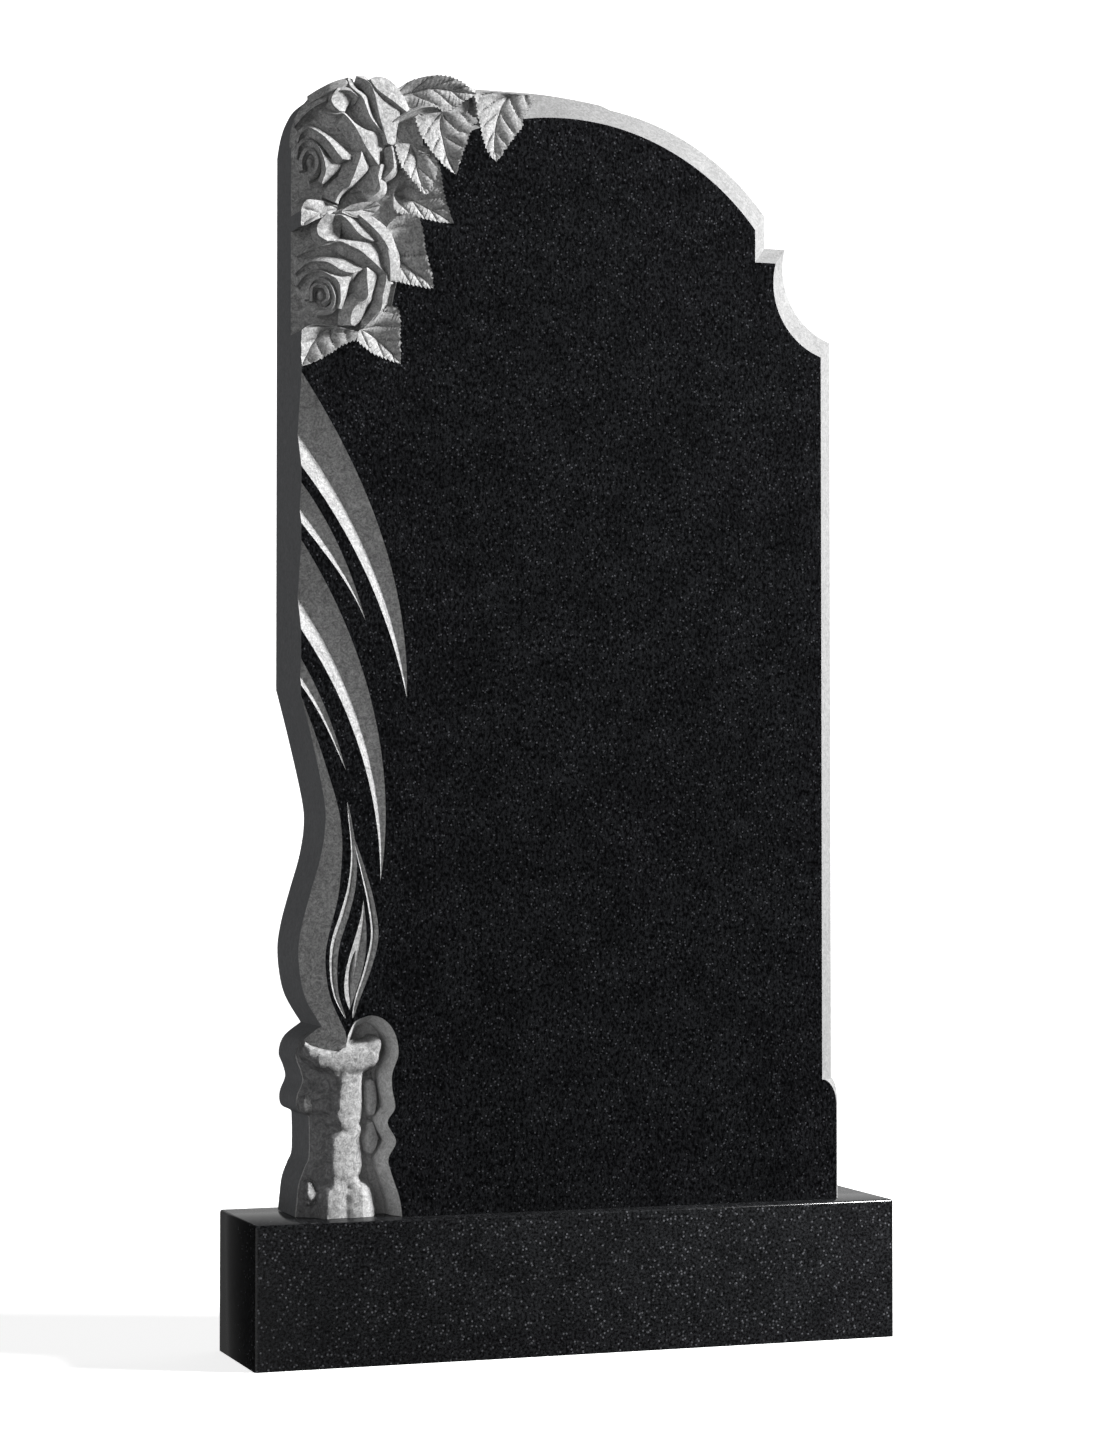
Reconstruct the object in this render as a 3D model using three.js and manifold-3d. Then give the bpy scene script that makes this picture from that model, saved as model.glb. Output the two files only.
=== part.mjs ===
import * as THREE from 'three';
import { mergeVertices } from 'three/addons/utils/BufferGeometryUtils.js';
import Module from 'manifold-3d';

// A granite headstone: a polished slab, carved down its left side with two roses,
// long leaf-shaped grooves, a flame and a burning candle, standing on a plain plinth.
// Millimetres, +Z up, the face looks along -Y, origin at the centre of the plinth's underside.

const wasm = await Module();
wasm.setup();

// Plinth
const plinthWidth = 700;
const plinthDepth = 150;
const plinthHeight = 146;
const plinthArris = 3;
const bedJoint = 0.3;

// Slab blank
const slabWidth = 594;
const slabThickness = 100;
const slabHeight = 1157;
const archRadius = 274;
const archOffset = 5;
const notchInset = 76;
const shoulderDrop = 140;
const coveRadius = 82;
const coveSetback = 27;
const coveDrop = 21;
const crestRise = 9;
const crestFrom = 40;
const crestLength = 150;
const crestSettles = 2 / 3;

// Chamfer along the arch, the shoulder and the right edge, with a stopped lower end
const chamfer = 18.5;
const arris = 2;
const stopBottom = 100;
const stopLength = 27;

// Carving depths below the polished face
const waveBevel = 16;
const grooveRatio = 0.28;
const flameDepth = 4;
const candlePocket = 32;
const pocketBevel = 16;
const bevelDraft = 8;
const footDraft = 9;
const craterBevel = 22;
const groundDepthLeft = 45;
const groundDepthRight = 12;
const leafSlope = 0.3;
const leafDeepest = 9;

// Carving is drawn on a slab of this height and keeps its proportions
const drawnHeight = 1157;
const drawing = slabHeight / drawnHeight;

const left = -slabWidth / 2;
const right = slabWidth / 2;
const front = -slabThickness / 2;
const slabFoot = plinthHeight + bedJoint;

// Points

const flat = (x, h) => new THREE.Vector2(x, h);

// A point of the carving: across from the slab's left edge and up from its foot
const drawn = ([across, up]) => flat(left + across * drawing, up * drawing);

// A point of the outline or carving, at a depth below the polished face
const at = (point, depth) => new THREE.Vector3(point.x, front + depth, slabFoot + point.y);

function smooth(points, steps) {
  return new THREE.SplineCurve(points.map(drawn)).getPoints(steps);
}

function bezier(points, steps) {
  return new THREE.CubicBezierCurve(...points.map(drawn)).getPoints(steps);
}

function arc(centre, radius, from, to, steps) {
  const points = [];
  for (let i = 0; i <= steps; i += 1) {
    const angle = from + ((to - from) * i) / steps;
    points.push(flat(centre.x + radius * Math.cos(angle), centre.y + radius * Math.sin(angle)));
  }
  return points;
}

// The sideways direction at each point of a path, to its right as it runs
function normals(path) {
  return path.map((point, i) => {
    const before = path[Math.max(i - 1, 0)];
    const after = path[Math.min(i + 1, path.length - 1)];
    const run = after.clone().sub(before).normalize();
    return flat(run.y, -run.x);
  });
}

// Solids

function closed(geometry) {
  geometry.deleteAttribute('normal');
  geometry.deleteAttribute('uv');
  const merged = mergeVertices(geometry, 0.001);
  const points = merged.attributes.position;
  const corner = (i) => new THREE.Vector3().fromBufferAttribute(points, i);
  const triangles = [];
  let volume = 0;
  for (let i = 0; i < merged.index.count; i += 3) {
    const [a, b, c] = [0, 1, 2].map((k) => merged.index.getX(i + k));
    if (a !== b && b !== c && c !== a) {
      triangles.push([a, b, c]);
      volume += corner(a).dot(corner(b).cross(corner(c)));
    }
  }
  const outward = volume > 0 ? triangles : triangles.map(([a, b, c]) => [a, c, b]);
  return new wasm.Manifold(new wasm.Mesh({
    numProp: 3,
    vertProperties: new Float32Array(points.array),
    triVerts: new Uint32Array(outward.flat()),
  }));
}

function fan(ring) {
  return ring.slice(2).map((_, i) => [0, i + 1, i + 2]);
}

// Triangles over a ring of any outline, seen from the front or, for a level ring, from above
function fill(ring, across = (p) => flat(p.x, p.z)) {
  const outline = ring.map(across);
  const triangles = THREE.ShapeUtils.triangulateShape(outline, []);
  return THREE.ShapeUtils.isClockWise(outline) ? triangles.map(([a, b, c]) => [a, c, b]) : triangles;
}

const fillLevel = (ring) => fill(ring, (p) => flat(p.x, p.y));

// A solid through a row of rings that all have the same number of corners
function loft(rings, cap = fan) {
  const count = rings[0].length;
  const index = [];
  for (let r = 1; r < rings.length; r += 1) {
    for (let i = 0; i < count; i += 1) {
      const j = (i + 1) % count;
      const a = (r - 1) * count + i;
      const b = (r - 1) * count + j;
      index.push(a, b, b + count, a, b + count, a + count);
    }
  }
  const top = (rings.length - 1) * count;
  cap(rings[0]).forEach(([a, b, c]) => index.push(c, b, a));
  cap(rings[rings.length - 1]).forEach(([a, b, c]) => index.push(top + a, top + b, top + c));
  const geometry = new THREE.BufferGeometry().setFromPoints(rings.flat());
  geometry.setIndex(index);
  return closed(geometry);
}

function pebble(centre, radii, around = 12, rings = 8) {
  const geometry = new THREE.SphereGeometry(1, around, rings);
  geometry.scale(...radii);
  geometry.translate(centre.x, centre.y, centre.z);
  return closed(geometry);
}

function namedMesh(name, solid, material) {
  const { vertProperties, triVerts } = solid.getMesh();
  const geometry = new THREE.BufferGeometry();
  geometry.setAttribute('position', new THREE.BufferAttribute(vertProperties, 3));
  geometry.setIndex(new THREE.BufferAttribute(triVerts, 1));
  geometry.computeVertexNormals();
  const mesh = new THREE.Mesh(geometry, material);
  mesh.name = name;
  return mesh;
}

// Slab blank: every station of its edge has a corner on the face, one at the bevel's outer
// line and that line's depth, and the same outline runs straight through to the back

const station = (edge, face, depth) => ({ edge, face, depth });

function rightEdge() {
  const stations = [station(flat(right, 0), flat(right - arris, 0), arris)];
  const steps = 5;
  for (let i = 0; i <= steps; i += 1) {
    const turn = (i / steps) * (Math.PI / 2);
    const height = stopBottom + stopLength * Math.sin(turn);
    const width = arris + (chamfer - arris) * (1 - Math.cos(turn));
    stations.push(station(flat(right, height), flat(right - width, height), width));
  }
  return stations;
}

function chamfered(points) {
  return points.map((p) => station(p, flat(p.x - chamfer, p.y - chamfer), chamfer));
}

const archCentre = flat(archOffset, slabHeight - archRadius);

function shoulderAndArch() {
  const shoulder = slabHeight - shoulderDrop;
  const cove = flat(right + coveSetback, shoulder - coveDrop);
  const coveStart = Math.PI + Math.acos(coveSetback / coveRadius);
  const coveEnd = Math.PI - Math.asin(coveDrop / coveRadius);
  const notch = right - notchInset;
  const archStart = Math.acos((notch - archCentre.x) / archRadius);
  const archEnd = Math.acos(crestFrom / archRadius);
  return chamfered([
    ...arc(cove, coveRadius, coveStart, coveEnd, 9),
    flat(notch, shoulder),
    ...arc(archCentre, archRadius, archStart, archEnd, 12),
  ]);
}

// Towards the leaves the top leaves the arch and runs on almost level, so the chamfer widens
function crest() {
  const stations = [];
  const steps = 6;
  for (let i = 1; i <= steps; i += 1) {
    const share = i / steps;
    const x = archCentre.x + crestFrom - crestLength * share;
    const across = x - archCentre.x;
    const arch = archCentre.y + Math.sqrt(archRadius ** 2 - across ** 2);
    const rise = Math.min(share / crestSettles, 1);
    const level = slabHeight + crestRise * Math.sin((Math.PI / 2) * rise);
    const edge = flat(x, Math.max(level, arch));
    stations.push(station(edge, flat(x - chamfer, arch - chamfer), chamfer));
  }
  return stations;
}

// The outline behind the topmost leaf and the upper rose, then down the straight left edge
function carvedCorner() {
  const points = smooth([
    [176, 1165], [160, 1174], [142, 1175], [124, 1170], [107, 1160], [82, 1166],
    [58, 1165], [35, 1158], [18, 1147], [8, 1130], [3, 1114], [0, 1096],
  ], 22);
  return points.map((p) => station(p, flat(p.x, p.y), arris / 2));
}

function wave() {
  const steps = 20;
  const edge = smooth([
    [0, 540], [15, 482], [28, 425], [30, 398], [25, 366], [15, 332], [5, 295],
    [2, 265], [8.5, 226], [27, 194],
  ], steps);
  const face = smooth([
    [0, 531], [20, 478], [38, 422], [43, 392], [43, 362], [39, 325], [30, 290],
    [26, 262], [31, 226], [47, 190],
  ], steps);
  return edge.map((p, i) => {
    const width = p.distanceTo(face[i]);
    return station(p, face[i], Math.min(waveBevel, arris + width));
  });
}

const candleLeft = [
  [27, 194], [9, 180], [3.5, 163], [8, 148], [11, 133], [6, 118], [7, 101],
  [17, 86], [17.5, 55], [12, 38], [7, 24], [4.5, 8], [3, 0],
];

// Beside the candle the bevel turns in under the flame and runs down to the candle's rim
const bevelFoot = [50, 176];

function candleSide() {
  const points = smooth(candleLeft, 24).slice(1);
  const foot = drawn(bevelFoot);
  return points.map((p) => station(p, flat(foot.x, Math.min(p.y, foot.y)), craterBevel));
}

function slabBlank() {
  const stations = [
    ...rightEdge(), ...shoulderAndArch(), ...crest(), ...carvedCorner(), ...wave(), ...candleSide(),
  ];
  return loft([
    stations.map((s) => at(s.face, 0)),
    stations.map((s) => at(s.edge, s.depth)),
    stations.map((s) => at(s.edge, slabThickness)),
  ], fill);
}

// V grooves: an upper edge and a lower edge on the face, and a valley between them

const overcut = 2;

function vCut(upper, lower, valley, depths) {
  return loft(upper.map((p, i) => [
    at(p, -overcut), at(p, 0), at(valley[i], depths[i]), at(lower[i], 0), at(lower[i], -overcut),
  ]));
}

// Four leaf-shaped grooves sweep down from the left edge, each to a long point
const sweeps = [
  { upper: [[-2, 863], [67, 762], [115, 651], [112, 530]], lower: [[-2, 767], [54, 698], [93, 617], [112, 530]] },
  { upper: [[-2, 750], [32, 707], [54, 657], [68, 608]], lower: [[-2, 709], [25, 676], [52, 646], [68, 608]] },
  { upper: [[-2, 692], [68, 588], [104, 463], [84, 342]], lower: [[-2, 601], [52, 526], [85, 433], [84, 342]] },
  { upper: [[-2, 572], [21, 534], [36, 496], [47, 456]], lower: [[-2, 544], [20, 517], [33, 486], [47, 456]] },
];
const valleyShare = 0.36;

function sweepCut({ upper, lower }) {
  const steps = 12;
  const top = bezier(upper, steps);
  const bottom = bezier(lower, steps);
  const valley = top.map((p, i) => bottom[i].clone().lerp(p, valleyShare));
  const aside = normals(valley);
  const depths = top.map((p, i) => Math.abs(p.clone().sub(bottom[i]).dot(aside[i])) * grooveRatio);
  return vCut(top, bottom, valley, depths);
}

// The flame is three strokes that swell and end in points
const flameStrokes = [
  { path: [[49, 423], [55.5, 374], [54, 340], [46.5, 310], [37, 281], [34.5, 254], [37.5, 227], [47.5, 203]], width: 9 },
  { path: [[55, 388], [65, 355], [74, 320], [78, 287], [71.5, 256], [59.5, 222], [55, 203]], width: 8 },
  { path: [[66, 323], [64, 296], [60, 270], [56, 245], [52, 213]], width: 20 },
];

function strokeCut({ path, width }) {
  const spine = smooth(path, 14);
  const aside = normals(spine);
  const swell = spine.map((_, i) => (width / 2) * Math.sin((Math.PI * i) / (spine.length - 1)) ** 0.7);
  const side = (sign) => spine.map((p, i) => p.clone().addScaledVector(aside[i], sign * swell[i] * drawing));
  const depths = swell.map((s) => Math.min(s, flameDepth));
  return vCut(side(1), side(-1), spine, depths);
}

// Leaves: two halves that fall from their edges at the face to a midrib. Each line runs from
// the base to the tip, and a later leaf lies over an earlier one

const leafSteps = 12;

function leafParts({ near, far, rib, level = 0 }) {
  const [one, two, middle] = [near, far, rib].map((line) => smooth(line, leafSteps));
  const fall = middle.map((p, i) => {
    const halfWidth = (p.distanceTo(one[i]) + p.distanceTo(two[i])) / 2;
    return level + Math.min(leafSlope * halfWidth, leafDeepest);
  });
  const block = loft(one.map((p, i) => [
    at(p, level), at(p, slabThickness / 2), at(two[i], slabThickness / 2), at(two[i], level),
  ]));
  const cut = loft(one.map((p, i) => [
    at(p, -overcut), at(p, level), at(middle[i], fall[i]), at(two[i], level), at(two[i], -overcut),
  ]));
  return { block, cut };
}

const leaves = [
  {
    near: [[222, 1160], [200, 1160], [187, 1157], [188, 1146], [189, 1135], [192, 1126], [195, 1112], [198, 1103], [203, 1094], [208.5, 1088]],
    far: [[230, 1160], [243, 1160], [249, 1157], [246, 1150], [240, 1141], [236, 1133], [236, 1127], [229, 1118], [221, 1107], [214, 1096], [208.5, 1088]],
    rib: [[226, 1160], [218, 1150], [212, 1135], [209, 1120], [208, 1105], [208.5, 1088]],
  },
  {
    near: [[103, 1148], [108, 1141], [114, 1136], [122, 1138], [134, 1143], [146, 1141], [152, 1137], [160, 1141], [170, 1148], [179, 1153], [187, 1157]],
    far: [[101, 1156], [110, 1163], [121, 1168], [134, 1171.5], [147, 1173], [158, 1172], [168, 1169], [175, 1165], [180, 1160], [187, 1157]],
    rib: [[100, 1152], [118, 1155], [138, 1158], [158, 1158], [175, 1157], [187, 1157]],
  },
  {
    near: [[106, 1054], [102, 1042], [107, 1031], [116, 1028], [126, 1026], [137, 1024], [148, 1022.5], [162, 1021]],
    far: [[108, 1058], [118, 1072], [130, 1084], [143, 1085], [147, 1070], [149, 1057], [152, 1045], [157, 1032], [162, 1021]],
    rib: [[106, 1056], [115, 1050], [124, 1046], [139, 1037], [151, 1029], [162, 1021]],
    level: 2,
  },
  {
    near: [[116, 1101], [108, 1101], [101, 1099], [103, 1088], [106, 1079], [111, 1073], [117, 1066], [124, 1058], [129, 1052], [132.5, 1049]],
    far: [[118, 1100], [125, 1094], [132, 1091], [140, 1087], [144, 1079], [142, 1070], [139, 1061], [135, 1053], [132.5, 1049]],
    rib: [[117, 1100], [124, 1088], [125, 1075], [128, 1061], [132.5, 1049]],
  },
  {
    near: [[150, 1136], [138, 1134], [127, 1132], [122, 1128], [124, 1120], [127, 1113], [131, 1106], [137, 1098], [143, 1091], [150, 1084], [157, 1077], [165, 1072]],
    far: [[152, 1137], [164, 1138], [176, 1135], [187, 1129.5], [181, 1125], [179, 1117], [175, 1105], [171, 1095], [168, 1084], [165, 1072]],
    rib: [[150, 1136], [150, 1122], [153, 1107], [157, 1093], [162, 1080], [165, 1072]],
  },
  {
    near: [[90, 985], [92, 970], [98, 961], [106, 958], [116, 956], [126, 955], [134, 953.5], [140, 953]],
    far: [[92, 992], [97, 1006], [105, 1019], [115, 1026], [123, 1025], [128, 1010], [130, 994], [134, 979], [138, 965], [140, 953]],
    rib: [[91, 990], [103, 981], [117, 970], [128, 962], [140, 953]],
  },
  {
    near: [[62, 906], [58, 899], [62, 893], [70, 887], [79, 882], [88, 879], [97, 876], [105, 873]],
    far: [[66, 908], [76, 918], [88, 928], [98, 931], [103, 924], [103.5, 908], [104, 893], [105, 873]],
    rib: [[64, 907], [76, 903], [87, 895], [97, 885], [105, 873]],
  },
  {
    near: [[32, 909], [20, 910], [8, 908], [0, 903], [-3, 895], [-3, 885], [-1, 875], [0.5, 866]],
    far: [[38, 908], [50, 906], [58, 903], [57, 897], [50, 894], [42, 890], [33, 884], [24, 878], [14, 872], [0.5, 866]],
    rib: [[35, 908], [24, 903], [15, 892], [9, 881], [3, 870], [0.5, 866]],
  },
  {
    near: [[36, 1032], [24, 1036], [12, 1036], [4, 1030], [0, 1020], [-2, 1010]],
    far: [[37, 1030], [32, 1026], [22, 1021], [12, 1016], [5, 1012], [-2, 1010]],
    rib: [[36, 1031], [25, 1028], [14, 1022], [5, 1015], [-2, 1010]],
    level: 20,
  },
  {
    near: [[38, 1027], [48, 1024], [59, 1022], [71, 1025], [80, 1030], [85, 1037]],
    far: [[38, 1030], [48, 1037], [60, 1040], [72, 1041], [80, 1040], [85, 1037]],
    rib: [[38, 1028], [52, 1030], [68, 1033], [85, 1037]],
    level: 8,
  },
];

// Sunk ground around the flowers: deepest at the slab's left edge
const ground = [
  [-12, 905], [30, 893], [56, 898], [82, 905], [94, 925], [98, 945], [102, 962], [124, 966],
  [124, 1000], [120, 1020], [114, 1032], [145, 1048], [143, 1080], [150, 1092], [129, 1100],
  [126, 1128], [147, 1136], [175, 1134], [184, 1150], [184, 1190], [-12, 1190],
];
const groundReach = 184;

function groundCut() {
  const outline = ground.map(drawn);
  const slope = (groundDepthLeft - groundDepthRight) / (groundReach * drawing);
  const depth = (p) => groundDepthLeft - (p.x - left) * slope;
  return loft([outline.map((p) => at(p, -overcut)), outline.map((p) => at(p, depth(p)))], fill);
}

// Roses: each petal is a ridge with a rim, a hollow inner side and a broad outer side down to
// its own foot line, and falls is how far the two sides drop. The petals lie over a low dome,
// and every line leans to the right as it gets deeper
const roses = [
  {
    centre: [52, 1103],
    across: 56,
    up: 62,
    heart: [8, 1078],
    petals: [
      {
        rim: [[72, 1166], [78, 1157], [87, 1150], [97, 1144], [106, 1138], [112, 1134]],
        outer: [[78, 1170], [90, 1168], [100, 1161], [106, 1153], [111, 1146], [115, 1135]],
        inner: 4,
        falls: [5, 7],
      },
      {
        rim: [[57, 1168], [71, 1162], [77, 1150], [80, 1138], [83, 1125], [87, 1113], [91, 1100]],
        outer: [[66, 1170], [76, 1160], [88, 1149], [101, 1140], [104, 1132], [101, 1116], [99, 1099]],
        inner: 9,
        falls: [8, 6],
      },
      {
        rim: [[48, 1166], [51, 1157], [58, 1151], [64, 1146], [68, 1137], [72, 1127], [79, 1118], [86, 1112]],
        outer: [[53, 1166], [57, 1157], [64, 1152], [70, 1147], [73, 1136], [77, 1127], [84, 1119], [89, 1111]],
        inner: 18,
        falls: [9, 6],
      },
      {
        rim: [[39, 1154], [33, 1147], [31, 1141], [34, 1135], [39, 1130]],
        outer: [[52, 1152], [48, 1146], [45, 1140], [44, 1135], [44, 1131]],
        inner: 8,
        falls: [6, 6],
      },
      {
        rim: [[17, 1130], [27, 1129], [35, 1127], [43, 1128], [47, 1125], [52, 1120], [57, 1114], [61, 1107], [66, 1098], [73, 1088], [81, 1078]],
        outer: [[17, 1138], [27, 1135], [35, 1132], [44, 1131], [50, 1126], [58, 1119], [70, 1114], [86, 1112], [89, 1101], [87, 1091], [84, 1079]],
        inner: 14,
        falls: [9, 8],
      },
      {
        rim: [[-5, 1100], [-2, 1108], [4, 1113], [10, 1113], [22, 1105], [30, 1097], [37, 1088], [43, 1081]],
        outer: [[-8, 1103], [-5, 1112], [3, 1117], [12, 1117], [27, 1107], [37, 1100], [47, 1091], [57, 1082]],
        inner: 8,
        falls: [6, 6],
      },
      {
        rim: [[-6, 1083], [-4, 1094], [2, 1100], [10, 1100], [17, 1094], [21, 1087], [24, 1078], [25, 1068], [21, 1057]],
        outer: [[-9, 1086], [-6, 1098], [1, 1104], [13, 1102], [22, 1094], [30, 1083], [45, 1079], [34, 1067], [22, 1056]],
        inner: 5,
        falls: [5, 6],
      },
      {
        rim: [[63, 1090], [62, 1084], [59, 1076], [56, 1067], [52, 1058], [49, 1052], [43, 1049], [38, 1043], [35, 1037]],
        outer: [[65, 1090], [68, 1084], [71, 1076], [67, 1069], [60, 1062], [53, 1055], [47, 1051], [41, 1045], [38, 1037]],
        inner: 16,
        falls: [9, 6],
      },
      {
        rim: [[84, 1078], [81, 1066], [81, 1058], [80, 1050], [77, 1044], [66, 1040], [50, 1037], [30, 1036]],
        outer: [[88, 1079], [84, 1066], [88, 1058], [87, 1050], [80, 1042], [68, 1036], [50, 1033], [30, 1032]],
        inner: 14,
        falls: [7, 5],
      },
      {
        rim: [[95, 1098], [97, 1085], [97, 1075], [92, 1068], [87, 1063]],
        outer: [[99, 1099], [102, 1086], [101, 1075], [97, 1067], [88, 1060]],
        inner: 9,
        falls: [6, 5],
      },
    ],
  },
  {
    centre: [54, 968],
    across: 56,
    up: 60,
    heart: [20, 941],
    petals: [
      {
        rim: [[47, 1026], [59, 1022], [66, 1013], [75, 1007], [84, 1001], [90, 992], [94, 985]],
        outer: [[50, 1030], [63, 1028], [74, 1020], [85, 1014], [93, 1008], [97, 997], [103, 983]],
        inner: 8,
        falls: [7, 7],
      },
      {
        rim: [[94, 992], [97, 984], [97, 972], [97, 958]],
        outer: [[98, 994], [103, 982], [104, 970], [103, 958]],
        inner: 6,
        falls: [6, 5],
      },
      {
        rim: [[24, 1020], [35, 1024], [45, 1021], [52, 1014], [56, 1009], [64, 1003], [76, 999]],
        outer: [[24, 1026], [38, 1028], [49, 1024], [57, 1014], [64, 1008], [72, 1005], [80, 1000]],
        inner: 14,
        falls: [8, 5],
      },
      {
        rim: [[21, 1019], [17, 1012], [16, 1005], [22, 1000], [28, 996]],
        outer: [[38, 1019], [39, 1012], [39, 1005], [37, 999], [34, 996]],
        inner: 7,
        falls: [6, 7],
      },
      {
        rim: [[-6, 983], [6, 988], [16, 991], [28, 993], [36, 996], [42, 996], [52, 992], [62, 988], [71, 981], [80, 974], [89, 967]],
        outer: [[-6, 991], [6, 995], [18, 997], [30, 999], [40, 1001], [55, 1000], [77, 1000], [84, 992], [89, 982], [91, 972], [91, 966]],
        inner: 12,
        falls: [8, 8],
      },
      {
        rim: [[-8, 965], [0, 972], [8, 976], [18, 976], [27, 975], [35, 971], [41, 967], [49, 965], [55, 965]],
        outer: [[-10, 970], [-2, 978], [8, 981], [20, 982], [32, 981], [44, 979], [54, 974], [65, 970], [64, 968]],
        inner: 7,
        falls: [6, 6],
      },
      {
        rim: [[-6, 952], [0, 960], [8, 965], [19, 966], [29, 962], [36, 958], [40, 952], [41, 943], [41, 935], [39, 928]],
        outer: [[-9, 955], [-2, 965], [8, 969], [20, 969], [33, 965], [44, 963], [54, 964], [50, 955], [47, 942], [42, 928]],
        inner: 5,
        falls: [5, 6],
      },
      {
        rim: [[69, 971], [69, 960], [70, 950], [71, 941], [68, 934], [61, 932], [54, 930], [53, 922], [53, 912]],
        outer: [[73, 971], [80, 966], [78, 955], [75, 945], [74, 938], [69, 932], [66, 925], [62, 917], [56, 911]],
        inner: 14,
        falls: [9, 6],
      },
      {
        rim: [[90, 966], [89, 955], [86, 942], [85, 932], [82, 924], [75, 916], [65, 911]],
        outer: [[95, 960], [100, 946], [95, 935], [89, 926], [82, 918], [72, 911], [60, 906]],
        inner: 12,
        falls: [8, 7],
      },
      {
        rim: [[66, 911], [48, 911], [30, 911], [12, 914], [0, 921], [-6, 930]],
        outer: [[64, 906], [48, 906], [30, 906], [10, 908], [-4, 915], [-10, 928]],
        inner: 12,
        falls: [6, 4],
      },
    ],
  },
];
const roseCrown = 1.5;
const roseFall = { left: 24, right: 4, ends: 4 };
const domeDepth = 14;
const petalTaper = 4;
const lean = 0.28;
const spiralRadius = 8;
const heartRadius = 4;

function roseDepth(rose, p) {
  const centre = drawn(rose.centre);
  const across = (p.x - centre.x) / (rose.across * drawing);
  const up = (p.y - centre.y) / (rose.up * drawing);
  const side = across < 0 ? roseFall.left : roseFall.right;
  return roseCrown + side * across ** 2 + roseFall.ends * up ** 2;
}

const leaning = (p, depth) => at(flat(p.x + lean * depth, p.y), depth);

function petal(rose, { rim, outer, inner, falls: [hollowFall, roundFall] }) {
  const steps = 14;
  const spine = smooth(rim, steps);
  const foot = smooth(outer, steps);
  const aside = normals(spine);
  return loft(spine.map((p, i) => {
    const top = roseDepth(rose, p) + petalTaper * (1 - Math.sin((Math.PI * i) / steps) ** 0.5);
    const hollow = p.clone().addScaledVector(aside[i], inner * drawing);
    const middle = p.clone().lerp(foot[i], 0.5);
    const floor = Math.max(groundDepthLeft, top + hollowFall, top + roundFall) + overcut;
    return [
      leaning(hollow, top + hollowFall), leaning(p, top), leaning(middle, top + roundFall / 3),
      leaning(foot[i], top + roundFall), leaning(foot[i], floor), leaning(hollow, floor),
    ];
  }));
}

// The innermost petals are a curled ring around a small heart
function roseHeart(rose) {
  const centre = drawn(rose.heart);
  const depth = roseDepth(rose, centre);
  const ring = pebble(
    leaning(centre, depth + spiralRadius),
    [spiralRadius * drawing, spiralRadius, spiralRadius * 1.4 * drawing],
    16,
    10,
  );
  const hollow = pebble(
    leaning(centre, depth),
    [heartRadius * 1.4 * drawing, heartRadius, heartRadius * 2 * drawing],
  );
  const heart = pebble(
    leaning(centre, depth + heartRadius),
    [heartRadius * drawing * 0.8, heartRadius, heartRadius * drawing],
  );
  return ring.subtract(hollow).add(heart);
}

function roseSolid(rose) {
  const depth = groundDepthLeft + overcut;
  const middle = drawn(rose.centre);
  const dome = pebble(
    at(flat(middle.x + lean * domeDepth, middle.y), depth),
    [rose.across * drawing, depth - domeDepth, rose.up * drawing],
    20,
    12,
  );
  return rose.petals.reduce((solid, one) => solid.add(petal(rose, one)), dome.add(roseHeart(rose)));
}

// Candle: a pocket with a sloping wall, and in it the candle with its molten rim and drips

const pocketWall = [
  [50, 186], [57, 199], [67, 204], [76, 205.5], [85, 203], [94, 196], [100, 186], [103, 175],
  [103, 163], [97, 146], [97, 130], [100, 111], [92, 96], [101, 77], [93, 60], [95, 48],
  [99, 36], [105, 18], [108, -3],
];

function pocketCut() {
  const wall = smooth(pocketWall, 36);
  const aside = normals(wall);
  const inset = (by) => wall.map((p, i) => p.clone().addScaledVector(aside[i], by));
  const outside = [
    [-12, -3], [-12, 181], [9, 179], [18, 174], [29, 170.5], [40, 171], [48, 173.5],
  ].map(drawn);
  const ring = (points, depth) => [...points, ...outside].map((p) => at(p, depth));
  return loft([
    ring(wall, -overcut), ring(wall, 0), ring(inset(bevelDraft), pocketBevel),
    ring(inset(footDraft), candlePocket),
  ], fill);
}

// The candle's front is a height field: it falls away from a crest, and runs of wax lie over it
const candleRight = [
  [86, 186], [87, 164], [86, 149], [85, 115], [82, 98], [86, 78], [80, 60], [82, 38], [88, 18], [90, 0],
];
const rimLine = [
  [0, 181], [9, 180], [18, 175], [29, 171.5], [40, 172], [50, 175], [56, 180], [66, 179.5],
  [74, 181], [80, 185], [87, 182], [92, 170],
];
const rimTop = 185;
const crestShare = 0.42;
const bodyLeft = { crest: 9, fall: 21, power: 1.5 };
const bodyRight = { crest: 9, fall: 24, power: 1.25 };

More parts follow.
